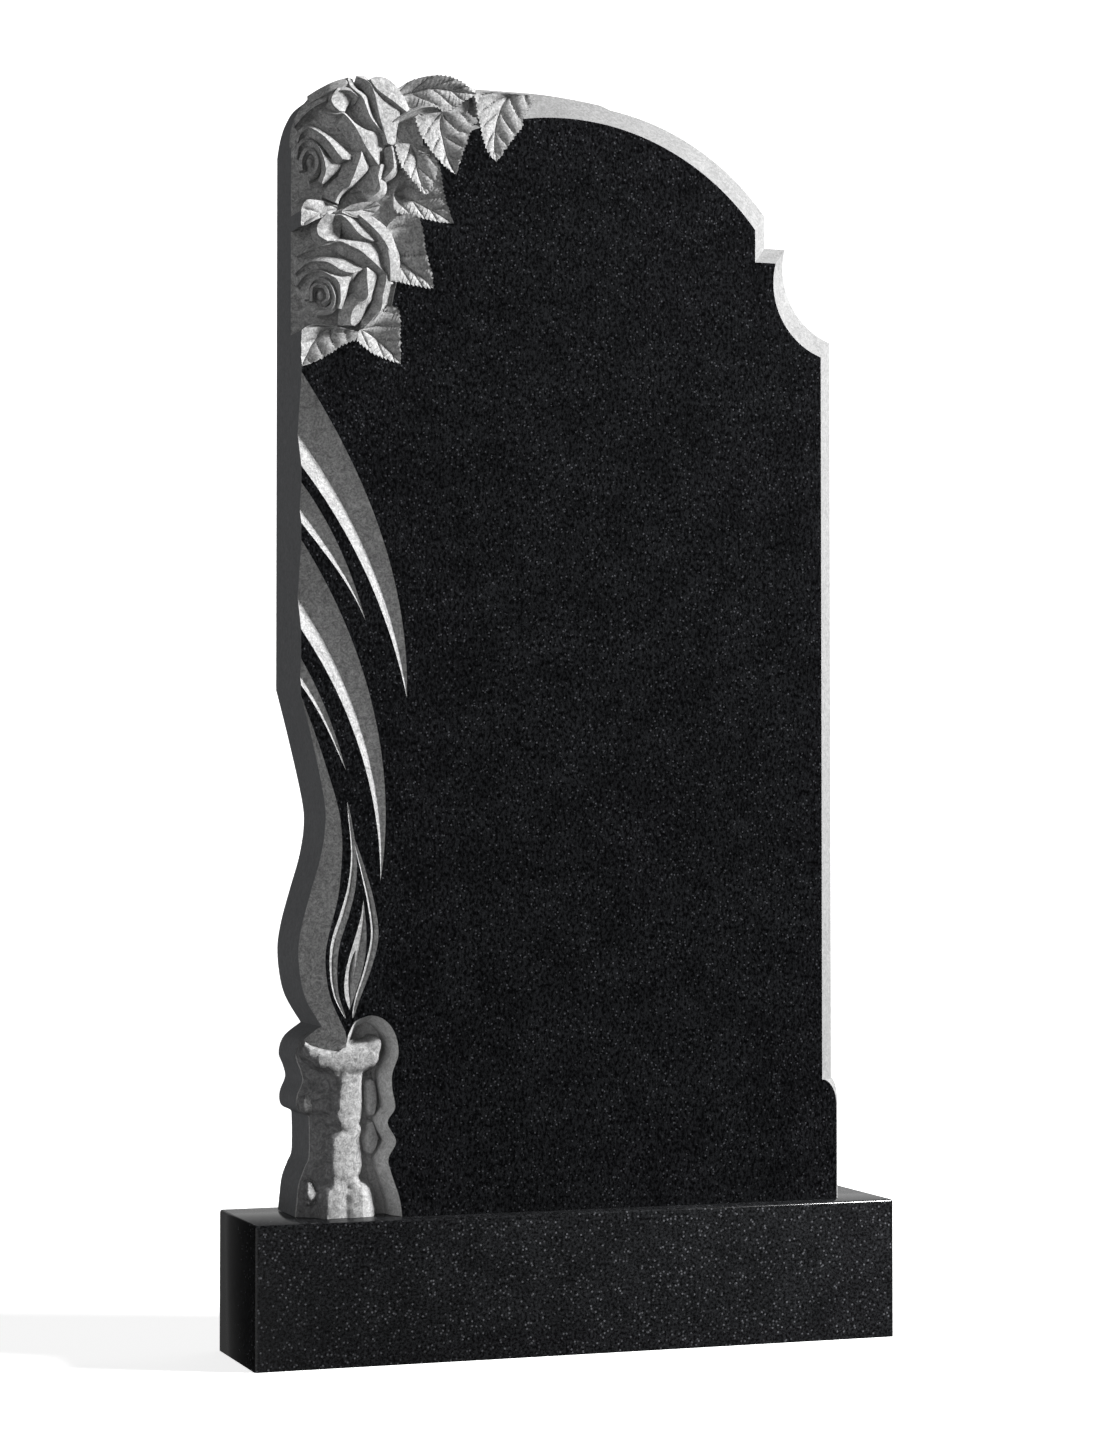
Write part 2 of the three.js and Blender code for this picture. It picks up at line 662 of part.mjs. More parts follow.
// Runs of wax: the rim of the melt, then the drips. Each point is across, up, half the width
// and how deep the crest lies, and tilt turns a run towards the right
const wax = [
  { run: [[6, 174, 7, 17], [16, 168, 8, 10], [30, 163, 9, 6], [46, 161, 11, 4.5], [62, 163, 12, 4.5], [74, 167, 11, 6], [84, 175, 9, 9]], tilt: 0 },
  { run: [[54, 158, 13, 6], [51, 140, 13, 6], [50, 118, 15, 6], [49, 103, 15, 7], [47, 98, 13, 9]], tilt: 0.22 },
  { run: [[52, 92, 12, 8], [49, 72, 17, 7], [47, 52, 17, 7], [47, 38, 16, 9]], tilt: 0.22 },
  { run: [[42, 20, 14, 6], [41, 8, 15, 6], [41, -6, 15, 6]], tilt: 0.2 },
  { run: [[62, 34, 6, 9], [68, 20, 13, 7], [71, 6, 15, 7], [71, -6, 15, 8]], tilt: 0.15 },
  { run: [[75, 134, 6, 18], [76, 120, 8, 16], [77, 108, 7, 16]], tilt: 0 },
  { run: [[76, 92, 5, 19], [77, 78, 9, 15], [77, 71, 9, 14]], tilt: 0 },
  { run: [[20, 140, 7, 19], [21, 126, 8, 17], [22, 116, 6, 19]], tilt: 0 },
  { run: [[6, 118, 7, 22], [7, 112, 8, 21]], tilt: 0 },
  { run: [[14, 28, 6, 16], [13, 18, 5, 19]], tilt: 0.5 },
];
const waxRound = 2.5;
const waxEdge = 7;
const waxBlend = 1.6;

// Depth of a run of wax at a place across and up, deeper the further from its middle line
function waxDepth({ run, tilt }, x, y) {
  let best = candlePocket * 2;
  for (let i = 1; i < run.length; i += 1) {
    const [[x1, y1, w1, d1], [x2, y2, w2, d2]] = [run[i - 1], run[i]];
    const start = flat(x1 + lean * d1, y1);
    const along = flat(x2 + lean * d2, y2).sub(start);
    const share = Math.min(1, Math.max(0, flat(x, y).sub(start).dot(along) / along.lengthSq()));
    const beside = flat(x, y).sub(start.addScaledVector(along, share));
    const away = beside.length() / (w1 + (w2 - w1) * share);
    const crest = d1 + (d2 - d1) * share + tilt * beside.x;
    best = Math.min(best, crest + waxRound * away ** 2 + waxEdge * away ** 6);
  }
  return best;
}

function candleDepth(x, y, share) {
  const side = share < crestShare ? bodyLeft : bodyRight;
  const away = Math.abs(share - crestShare) / (share < crestShare ? crestShare : 1 - crestShare);
  const body = side.crest + side.fall * away ** side.power;
  const layers = [body, ...wax.map((one) => waxDepth(one, x, y))];
  return -waxBlend * Math.log(layers.reduce((sum, depth) => sum + Math.exp(-depth / waxBlend), 0));
}

function candle() {
  const rows = 44;
  const around = 26;
  const floor = candlePocket + overcut;
  const [leftSide, rightSide, rim] = [candleLeft, candleRight, rimLine].map((line) => smooth(line, 120));
  const nearest = (line, key, value) => line.reduce(
    (best, p) => (Math.abs(p[key] - value) < Math.abs(best[key] - value) ? p : best),
  );
  const rings = [];
  for (let r = 0; r <= rows; r += 1) {
    const up = (rimTop * r) / rows;
    const height = up * drawing;
    const west = nearest(leftSide, 'y', height).x + arris / 2;
    const east = nearest(rightSide, 'y', height).x;
    const ring = [at(flat(west, height), floor + overcut)];
    for (let i = 0; i <= around; i += 1) {
      const x = west + ((east - west) * i) / around;
      const open = height > nearest(rim, 'x', x).y;
      const depth = open ? floor : candleDepth((x - left) / drawing, up, i / around);
      ring.push(at(flat(x, height), Math.min(depth, floor)));
    }
    ring.push(at(flat(east, height), floor + overcut));
    rings.push(ring);
  }
  return loft(rings, fillLevel);
}

// Space just outside the stone, which trims the carving flush
function beyondLeft() {
  const box = new THREE.BoxGeometry(slabThickness, slabThickness * 2, slabHeight);
  box.translate(left - slabThickness / 2, 0, slabFoot + slabHeight);
  return closed(box);
}

function slab() {
  let solid = slabBlank().subtract(groundCut());
  leaves.map(leafParts).forEach(({ block, cut }) => {
    solid = solid.add(block).subtract(cut);
  });
  sweeps.forEach((sweep) => {
    solid = solid.subtract(sweepCut(sweep));
  });
  flameStrokes.forEach((stroke) => {
    solid = solid.subtract(strokeCut(stroke));
  });
  roses.forEach((rose) => {
    solid = solid.add(roseSolid(rose));
  });
  return solid.subtract(beyondLeft()).subtract(pocketCut()).add(candle());
}

// Plinth: a plain block with small arrises along its top edges

function plinth() {
  const inset = (by, height) => [[-1, -1], [1, -1], [1, 1], [-1, 1]].map(([x, y]) => (
    new THREE.Vector3(x * (plinthWidth / 2 - by), y * (plinthDepth / 2 - by), height)
  ));
  return loft([inset(0, 0), inset(0, plinthHeight - plinthArris), inset(plinthArris, plinthHeight)]);
}

const polishedGranite = { color: '#1c1c1e', roughness: 0.15, metalness: 0 };

const headstone = new THREE.Group();
headstone.add(namedMesh('slab', slab(), new THREE.MeshStandardMaterial(polishedGranite)));
headstone.add(namedMesh('plinth', plinth(), new THREE.MeshStandardMaterial(polishedGranite)));

export default headstone;
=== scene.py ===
import math
import bpy
import bmesh
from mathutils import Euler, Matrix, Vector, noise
from mathutils.geometry import interpolate_bezier


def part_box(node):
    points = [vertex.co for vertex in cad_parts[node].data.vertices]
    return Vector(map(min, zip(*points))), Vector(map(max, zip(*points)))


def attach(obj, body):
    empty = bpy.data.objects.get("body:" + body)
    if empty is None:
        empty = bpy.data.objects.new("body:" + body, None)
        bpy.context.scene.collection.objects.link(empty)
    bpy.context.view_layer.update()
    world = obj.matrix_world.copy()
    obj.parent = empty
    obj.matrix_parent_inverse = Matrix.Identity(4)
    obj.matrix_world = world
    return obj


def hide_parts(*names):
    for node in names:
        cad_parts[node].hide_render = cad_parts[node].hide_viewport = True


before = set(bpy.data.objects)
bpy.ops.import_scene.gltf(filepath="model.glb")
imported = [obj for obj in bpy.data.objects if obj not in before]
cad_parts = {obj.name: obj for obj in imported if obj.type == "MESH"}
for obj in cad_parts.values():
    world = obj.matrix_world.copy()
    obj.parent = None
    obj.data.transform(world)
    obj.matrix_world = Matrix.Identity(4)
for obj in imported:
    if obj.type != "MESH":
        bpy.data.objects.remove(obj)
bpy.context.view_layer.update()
mm = 0.001

slabLow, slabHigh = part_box("slab")
plinthLow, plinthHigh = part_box("plinth")
collection = bpy.context.scene.collection

# Camera: solved from the edges of the slab and the plinth, so it needs no shift
cameraSet = {"lens": 84.863, "place": (-1192.8, -3364.6, 568.6), "turn": 19.3225, "rise": 1.4624}
cameraData = bpy.data.cameras.new("camera")
cameraData.lens = cameraSet["lens"]
camera = bpy.data.objects.new("camera", cameraData)
camera.location = Vector(cameraSet["place"]) * mm
camera.rotation_euler = Euler((math.radians(90 + cameraSet["rise"]), 0, math.radians(-cameraSet["turn"])))
collection.objects.link(camera)
bpy.context.scene.camera = camera
print("camera placed")


# Lines on the stone. Across is from the slab's left edge, up is from its foot and depth is
# below the polished face, all in mm

def onStone(point, depth=0.0):
    return Vector((slabLow.x + point[0] * mm, slabLow.y + depth * mm, slabLow.z + point[1] * mm))


def smoothLine(points, steps):
    points = [Vector(p) for p in points]
    last = len(points) - 1
    line = []
    for i in range(steps + 1):
        place = last * i / steps
        k = min(int(place), last - 1)
        w = place - k
        p0, p1 = points[max(k - 1, 0)], points[k]
        p2, p3 = points[k + 1], points[min(k + 2, last)]
        v0, v1 = (p2 - p0) / 2, (p3 - p1) / 2
        bend = (p1 * 2 - p2 * 2 + v0 + v1) * w ** 3 + (p2 * 3 - p1 * 3 - v0 * 2 - v1) * w ** 2
        line.append(bend + v0 * w + p1)
    return line


def bezierLine(points, steps):
    start, one, two, end = [Vector(p) for p in points]
    return [p.to_2d() for p in interpolate_bezier(start, one, two, end, steps + 1)]


def arcLine(centre, radius, start, end, steps):
    turns = [start + (end - start) * i / steps for i in range(steps + 1)]
    return [Vector((centre[0] + radius * math.cos(a), centre[1] + radius * math.sin(a))) for a in turns]


def sideways(line):
    found = []
    for i in range(len(line)):
        run = (line[min(i + 1, len(line) - 1)] - line[max(i - 1, 0)]).normalized()
        found.append(Vector((run.y, -run.x)))
    return found


# Solids

def loft(rings):
    bm = bmesh.new()
    verts = [bm.verts.new(p) for p in rings[0]]
    count = len(verts)
    edges = [bm.edges.new((verts[i], verts[(i + 1) % count])) for i in range(count)]
    bm.faces.new(verts)
    for ring in rings[1:]:
        made = bmesh.ops.extrude_edge_only(bm, edges=edges)["geom"]
        fresh = {g for g in made if isinstance(g, bmesh.types.BMVert)}
        verts = [next(e.other_vert(v) for e in v.link_edges if e.other_vert(v) in fresh) for v in verts]
        for v, p in zip(verts, ring):
            v.co = p
        edges = [bm.edges.get((verts[i], verts[(i + 1) % count])) for i in range(count)]
    bm.faces.new(verts)
    bmesh.ops.remove_doubles(bm, verts=bm.verts, dist=1e-6)
    bmesh.ops.recalc_face_normals(bm, faces=bm.faces)
    return bm


def pebble(centre, radii, fine=3):
    bm = bmesh.new()
    bmesh.ops.create_icosphere(bm, subdivisions=fine, radius=1)
    bmesh.ops.scale(bm, verts=bm.verts, vec=[r * mm for r in radii])
    bmesh.ops.translate(bm, verts=bm.verts, vec=centre)
    return bm


def block(low, high):
    bm = bmesh.new()
    bmesh.ops.create_cube(bm, size=1)
    bmesh.ops.scale(bm, verts=bm.verts, vec=high - low)
    bmesh.ops.translate(bm, verts=bm.verts, vec=(low + high) / 2)
    return bm


def makeObject(name, bm, *finishes):
    mesh = bpy.data.meshes.new(name)
    bm.to_mesh(mesh)
    bm.free()
    for finish in finishes:
        mesh.materials.append(finish)
    made = bpy.data.objects.new(name, mesh)
    collection.objects.link(made)
    return made


def settle(target):
    graph = bpy.context.evaluated_depsgraph_get()
    mesh = bpy.data.meshes.new_from_object(target.evaluated_get(graph))
    target.modifiers.clear()
    target.data = mesh


def combine(target, tool, operation):
    change = target.modifiers.new("change", "BOOLEAN")
    change.operation = operation
    change.solver = "MANIFOLD"
    change.material_mode = "TRANSFER"
    change.object = tool
    settle(target)
    bpy.data.objects.remove(tool)


def carve(target, bm, finish):
    combine(target, makeObject("cutter", bm, finish), "DIFFERENCE")


def join(target, bm, finish):
    combine(target, makeObject("addition", bm, finish), "UNION")


def crease(target, degrees):
    bm = bmesh.new()
    bm.from_mesh(target.data)
    corners = {}
    for face in bm.faces:
        face.smooth = True
        corners.setdefault(frozenset(face.verts), []).append(face)
    folded = [face for same in corners.values() if len(same) > 1 for face in same]
    bmesh.ops.delete(bm, geom=folded, context="FACES")  # two faces back to back hold no stone
    for edge in bm.edges:
        same = len({face.material_index for face in edge.link_faces}) == 1
        edge.smooth = len(edge.link_faces) == 2 and same and edge.calc_face_angle() < math.radians(degrees)
    bm.to_mesh(target.data)
    bm.free()


# Finishes

def toLinear(code):
    channels = [int(code[i:i + 2], 16) / 255 for i in (1, 3, 5)]
    curved = [c / 12.92 if c <= 0.04045 else ((c + 0.055) / 1.055) ** 2.4 for c in channels]
    return (*curved, 1)


def newFinish(name):
    finish = bpy.data.materials.new(name)
    finish.use_nodes = True
    finish.node_tree.nodes.clear()
    return finish


# A setting is a property of the node, an input by its name or number, or the stops of a ramp
def addNode(finish, kind, settings=None, links=None):
    tree = finish.node_tree
    node = tree.nodes.new(kind)
    for key, value in (settings or {}).items():
        if key == "stops":
            points = node.color_ramp.elements
            points[0].position, points[0].color = value[0][0], toLinear(value[0][1])
            points[1].position, points[1].color = value[-1][0], toLinear(value[-1][1])
            for position, code in value[1:-1]:
                points.new(position).color = toLinear(code)
        elif isinstance(key, int) or not hasattr(node, key):
            node.inputs[key].default_value = value
        else:
            setattr(node, key, value)
    for key, source in (links or {}).items():
        tree.links.new(source, node.inputs[key])
    return node


# Noise with grains of about the given size, which may be drawn out up the stone or swirled
def grain(finish, sizeMm, detail=2.0, rough=0.5, stretch=1.0, swirl=0.0):
    where = addNode(finish, "ShaderNodeTexCoord").outputs["Object"]
    drawn = addNode(finish, "ShaderNodeMapping", {"Scale": (1, 1, 1 / stretch)}, {"Vector": where})
    settings = {"Scale": 1 / (sizeMm * mm), "Detail": detail, "Roughness": rough, "Distortion": swirl}
    return addNode(finish, "ShaderNodeTexNoise", settings, {"Vector": drawn.outputs["Vector"]}).outputs["Fac"]


# Polished gabbro, the stone sold as black granite: a near-black ground with dark grey crystals
# a few mm long running through it, and here and there a pale flake that catches the light
polish = {
    "detail": 4.0, "rough": 0.75, "groundTo": 0.42, "crystalFrom": 0.6,
    "flakes": [(0.84, "#000000"), (0.995, "#ffffff")],  # which of the crystals are pale
    "flakeCore": [(0.18, "#ffffff"), (0.45, "#000000")],
    "cloud": 12, "clouds": [(0.3, "#d0d0d0"), (0.7, "#ffffff")],  # in crystals across
    "shader": {"IOR": 1.5, "Specular IOR Level": 0.4},
}


def polishedGabbro(name, ground, crystal, flake, crystalMm, stretch, roughness):
    finish = newFinish(name)
    multiply = {"data_type": "RGBA", "blend_type": "MULTIPLY", 0: 1.0}
    crystals = grain(finish, crystalMm, polish["detail"], polish["rough"], stretch)
    stops = [(polish["groundTo"], ground), (polish["crystalFrom"], crystal)]
    tone = addNode(finish, "ShaderNodeValToRGB", {"stops": stops}, {"Fac": crystals}).outputs["Color"]
    where = addNode(finish, "ShaderNodeTexCoord").outputs["Object"]
    cells = addNode(finish, "ShaderNodeTexVoronoi", {"Scale": 1 / (crystalMm * mm)}, {"Vector": where})
    split = addNode(finish, "ShaderNodeSeparateColor", {}, {"Color": cells.outputs["Color"]})
    few = addNode(finish, "ShaderNodeValToRGB", {"stops": polish["flakes"]}, {"Fac": split.outputs[1]})
    depth = cells.outputs["Distance"]
    core = addNode(finish, "ShaderNodeValToRGB", {"stops": polish["flakeCore"]}, {"Fac": depth})
    spark = addNode(finish, "ShaderNodeMix", multiply, {6: few.outputs["Color"], 7: core.outputs["Color"]})
    flaked = addNode(finish, "ShaderNodeMix", {"data_type": "RGBA", 7: toLinear(flake)},
                     {0: spark.outputs[2], 6: tone})
    drift = grain(finish, polish["cloud"] * crystalMm)
    clouds = addNode(finish, "ShaderNodeValToRGB", {"stops": polish["clouds"]}, {"Fac": drift})
    colour = addNode(finish, "ShaderNodeMix", multiply, {6: flaked.outputs[2], 7: clouds.outputs["Color"]})
    shader = addNode(finish, "ShaderNodeBsdfPrincipled", {"Roughness": roughness, **polish["shader"]},
                     {"Base Color": colour.outputs[2]})
    addNode(finish, "ShaderNodeOutputMaterial", {}, {"Surface": shader.outputs["BSDF"]})
    return finish


# Cut gabbro: chisel and grinder bruise the crystals, so the same black stone turns pale grey,
# matt, and scored all over with short fine scratches
bruise = {
    "detail": 4.0, "rough": 0.65,
    "stroke": 5, "strokeDetail": 3.0, "strokeRough": 0.55, "strokeSwirl": 2.4,  # in crystals across
    "tones": (0.36, 0.5, 0.64), "bump": 0.5,
    "shader": {"Roughness": 0.85, "IOR": 1.5, "Specular IOR Level": 0.2},
}


def cutGabbro(name, low, middle, high, crystalMm, bumpMm):
    finish = newFinish(name)
    crystals = grain(finish, crystalMm, bruise["detail"], bruise["rough"])
    strokes = grain(finish, bruise["stroke"] * crystalMm, bruise["strokeDetail"], bruise["strokeRough"],
                    swirl=bruise["strokeSwirl"])
    halves = {"data_type": "FLOAT", 0: 0.5}
    both = addNode(finish, "ShaderNodeMix", halves, {2: crystals, 3: strokes}).outputs[0]
    stops = list(zip(bruise["tones"], (low, middle, high)))
    colour = addNode(finish, "ShaderNodeValToRGB", {"stops": stops}, {"Fac": both}).outputs["Color"]
    relief = {"Strength": bruise["bump"], "Distance": bumpMm * mm}
    bump = addNode(finish, "ShaderNodeBump", relief, {"Height": both})
    shader = addNode(finish, "ShaderNodeBsdfPrincipled", bruise["shader"],
                     {"Base Color": colour, "Normal": bump.outputs["Normal"]})
    addNode(finish, "ShaderNodeOutputMaterial", {}, {"Surface": shader.outputs["BSDF"]})
    return finish


facePolish = polishedGabbro("polished_black_gabbro_face", "#050506", "#242527", "#57585c", 2.8, 1.6, 0.15)
plinthPolish = polishedGabbro("polished_black_gabbro_plinth", "#0b0b0c", "#2f3032", "#6e6f73", 3.0, 1.0, 0.16)
cutStone = cutGabbro("cut_gabbro_carving", "#797979", "#a2a2a2", "#cacaca", 1.8, 0.6)
# A lighter copy of the cut stone: painted light for the pocket walls and the drips in it, which lie in shade
pocketPaintedLight = cutGabbro("gabbro_pocket_painted_light", "#a6a6a6", "#c6c6c6", "#e2e2e2", 1.8, 0.6)
chamferStone = cutGabbro("cut_gabbro_chamfer", "#7c7c7c", "#8e8e8e", "#a0a0a0", 1.8, 0.3)
# A darker copy of the cut stone: painted shade for the candle's left flank, which faces away from the key
# light
flankPaintedShade = cutGabbro("gabbro_flank_painted_shade", "#5c5c5d", "#767677", "#929293", 2.6, 0.6)
sawnSide = cutGabbro("honed_gabbro_side", "#727376", "#7d7e80", "#88898b", 2.0, 0.15)
print("finishes made")


# Slab blank: polished front, sawn sides and back, and a cut chamfer or bevel between them

blank = {
    "arris": 2, "chamfer": 18.5, "stopBottom": 100, "stopLength": 27, "archRadius": 274,
    "archOffset": 5, "notchInset": 76, "shoulderDrop": 140, "coveRadius": 82, "coveSetback": 27,
    "coveDrop": 21, "crestRise": 9, "crestFrom": 40, "crestLength": 150, "waveBevel": 16,
    "bevelFoot": (50, 176), "craterBevel": 22, "chamferFrom": 180, "paintedShadeBelow": 170, "crestSettles": 2 / 3,
    "stopSteps": 12, "coveSteps": 24, "archSteps": 36, "crestSteps": 12, "cornerSteps": 44, "waveSteps": 60,
    "tilt": 0.02, "crease": 32,
    "width": (slabHigh.x - slabLow.x) / mm, "thickness": (slabHigh.y - slabLow.y) / mm, "height": 1157,
}
cornerLine = [
    (176, 1165), (160, 1174), (142, 1175), (124, 1170), (107, 1160), (82, 1166),
    (58, 1165), (35, 1158), (18, 1147), (8, 1130), (3, 1114), (0, 1096),
]
waveEdge = [
    (0, 540), (15, 482), (28, 425), (30, 398), (25, 366), (15, 332), (5, 295),
    (2, 265), (8.5, 226), (27, 194),
]
waveFace = [
    (0, 531), (20, 478), (38, 422), (43, 392), (43, 362), (39, 325), (30, 290),
    (26, 262), (31, 226), (47, 190),
]
candleLeft = [
    (27, 194), (9, 180), (3.5, 163), (8, 150), (10.5, 138), (5, 124), (4.5, 113), (8, 107),
    (16, 103), (17.5, 96), (17.5, 62), (13, 50), (7, 34), (4.5, 14), (3, 0),
]


def rightStations():
    width, arris, chamfer = blank["width"], blank["arris"], blank["chamfer"]
    stations = [((width, 0), (width - arris, 0), arris)]
    for i in range(blank["stopSteps"] + 1):
        turn = math.pi / 2 * i / blank["stopSteps"]
        height = blank["stopBottom"] + blank["stopLength"] * math.sin(turn)
        cut = arris + (chamfer - arris) * (1 - math.cos(turn))
        stations.append(((width, height), (width - cut, height), cut))
    return stations


def topStations():
    width, height, chamfer = blank["width"], blank["height"], blank["chamfer"]
    radius, cove = blank["archRadius"], blank["coveRadius"]
    shoulder = height - blank["shoulderDrop"]
    arch = (width / 2 + blank["archOffset"], height - radius)
    start = math.pi + math.acos(blank["coveSetback"] / cove)
    end = math.pi - math.asin(blank["coveDrop"] / cove)
    coveCentre = (width + blank["coveSetback"], shoulder - blank["coveDrop"])
    line = arcLine(coveCentre, cove, start, end, blank["coveSteps"])
    notch = width - blank["notchInset"]
    line.append(Vector((notch, shoulder)))
    start, end = math.acos((notch - arch[0]) / radius), math.acos(blank["crestFrom"] / radius)
    line += arcLine(arch, radius, start, end, blank["archSteps"])
    stations = [(p, (p.x - chamfer, p.y - chamfer), chamfer) for p in line]
    for i in range(1, blank["crestSteps"] + 1):  # the crest leaves the arch and runs on almost level
        share = i / blank["crestSteps"]
        x = arch[0] + blank["crestFrom"] - blank["crestLength"] * share
        onArch = arch[1] + math.sqrt(radius ** 2 - (x - arch[0]) ** 2)
        level = height + blank["crestRise"] * math.sin(math.pi / 2 * min(share / blank["crestSettles"], 1))
        stations.append(((x, max(level, onArch)), (x - chamfer, onArch - chamfer), chamfer))
    return stations


def leftStations():
    stations = [(p, p, blank["arris"] / 2) for p in smoothLine(cornerLine, blank["cornerSteps"])]
    steps = blank["waveSteps"]
    for edge, face in zip(smoothLine(waveEdge, steps), smoothLine(waveFace, steps)):
        stations.append((edge, face, min(blank["waveBevel"], blank["arris"] + (edge - face).length)))
    x, y = blank["bevelFoot"]  # the bevel turns in under the flame and runs down to the candle
    side = smoothLine(candleLeft, steps)[1:]
    return stations + [(p, (x, min(p.y, y)), blank["craterBevel"]) for p in side]


def buildBlank():
    stations = rightStations() + topStations() + leftStations()
    rings = [
        [onStone(face) for edge, face, cut in stations],
        [onStone(edge, cut) for edge, face, cut in stations],
        [onStone(edge, blank["thickness"]) for edge, face, cut in stations],
    ]
    bm = loft(rings)
    bm.normal_update()
    for face in bm.faces:
        middle = (face.calc_center_median() - slabLow) / mm
        if abs(face.normal.y) < blank["tilt"] or middle.y > blank["thickness"] / 2:
            face.material_index = 2
        elif face.normal.y > blank["tilt"] - 1 and middle.x > blank["chamferFrom"]:
            face.material_index = 3
        elif face.normal.y > blank["tilt"] - 1:
            # Painted shade: the bevel down the candle's left side, below this height, takes the darker flank
            # finish
            face.material_index = 4 if middle.z < blank["paintedShadeBelow"] else 1
    return makeObject("carved_slab", bm, facePolish, cutStone, sawnSide, chamferStone, flankPaintedShade)


slab = buildBlank()
print("slab blank made")


# Grooves that sweep from the left edge to long points, cut to a V. Each has an upper and a lower
# edge, and its valley lies nearer to the lower one

overcut = 2  # how far a cutter stands out of the face
sweepSet = {"ratio": 0.28, "valley": 0.36, "steps": 48}
sweeps = [
    ([(-2, 863), (67, 762), (115, 651), (112, 530)], [(-2, 767), (54, 698), (93, 617), (112, 530)]),
    ([(-2, 750), (32, 707), (54, 657), (68, 608)], [(-2, 709), (25, 676), (52, 646), (68, 608)]),
    ([(-2, 692), (68, 588), (104, 463), (84, 342)], [(-2, 601), (52, 526), (85, 433), (84, 342)]),
    ([(-2, 572), (21, 534), (36, 496), (47, 456)], [(-2, 544), (20, 517), (33, 486), (47, 456)]),
]


def grooveCut(upper, lower, valley, depths):
    return loft([
        [onStone(a, -overcut), onStone(a), onStone(v, d), onStone(b), onStone(b, -overcut)]
        for a, b, v, d in zip(upper, lower, valley, depths)
    ])


def sweepCut(upper, lower, ratio=sweepSet["ratio"]):
    top = bezierLine(upper, sweepSet["steps"])
    bottom = bezierLine(lower, sweepSet["steps"])
    valley = [b.lerp(a, sweepSet["valley"]) for a, b in zip(top, bottom)]
    depths = [abs((a - b).dot(n)) * ratio for a, b, n in zip(top, bottom, sideways(valley))]
    return grooveCut(top, bottom, valley, depths)


# The flame: two long strokes, and between them a tongue with a dark slot in it
flameSet = {"steps": 60, "deepest": 4, "swell": 0.7, "slotRatio": 1.8}
flame = [
    ([
        (49, 423), (55.5, 374), (54, 340), (46.5, 310), (37, 281), (34.5, 254), (37.5, 227),
        (47.5, 203),
    ], 9.5),
    ([(55, 388), (65, 355), (74, 320), (78, 287), (71.5, 256), (59.5, 222), (55, 203)], 8),
]
tongue = (
    [(65.8, 323.5), (65, 289), (33, 243.5), (51.8, 212)],
    [(65.8, 323.5), (73.5, 273.8), (68.5, 257.3), (51.8, 212)],
)
slot = (
    [(59, 274), (61, 258), (58, 238), (53, 216)],
    [(59, 274), (50, 262), (48, 238), (53, 216)],
)


def strokeCut(path, width):
    steps = flameSet["steps"]
    spine = smoothLine(path, steps)
    swell = [width / 2 * math.sin(math.pi * i / steps) ** flameSet["swell"] for i in range(steps + 1)]
    near = [p + n * s for p, n, s in zip(spine, sideways(spine), swell)]
    far = [p - n * s for p, n, s in zip(spine, sideways(spine), swell)]
    return grooveCut(near, far, spine, [min(s, flameSet["deepest"]) for s in swell])


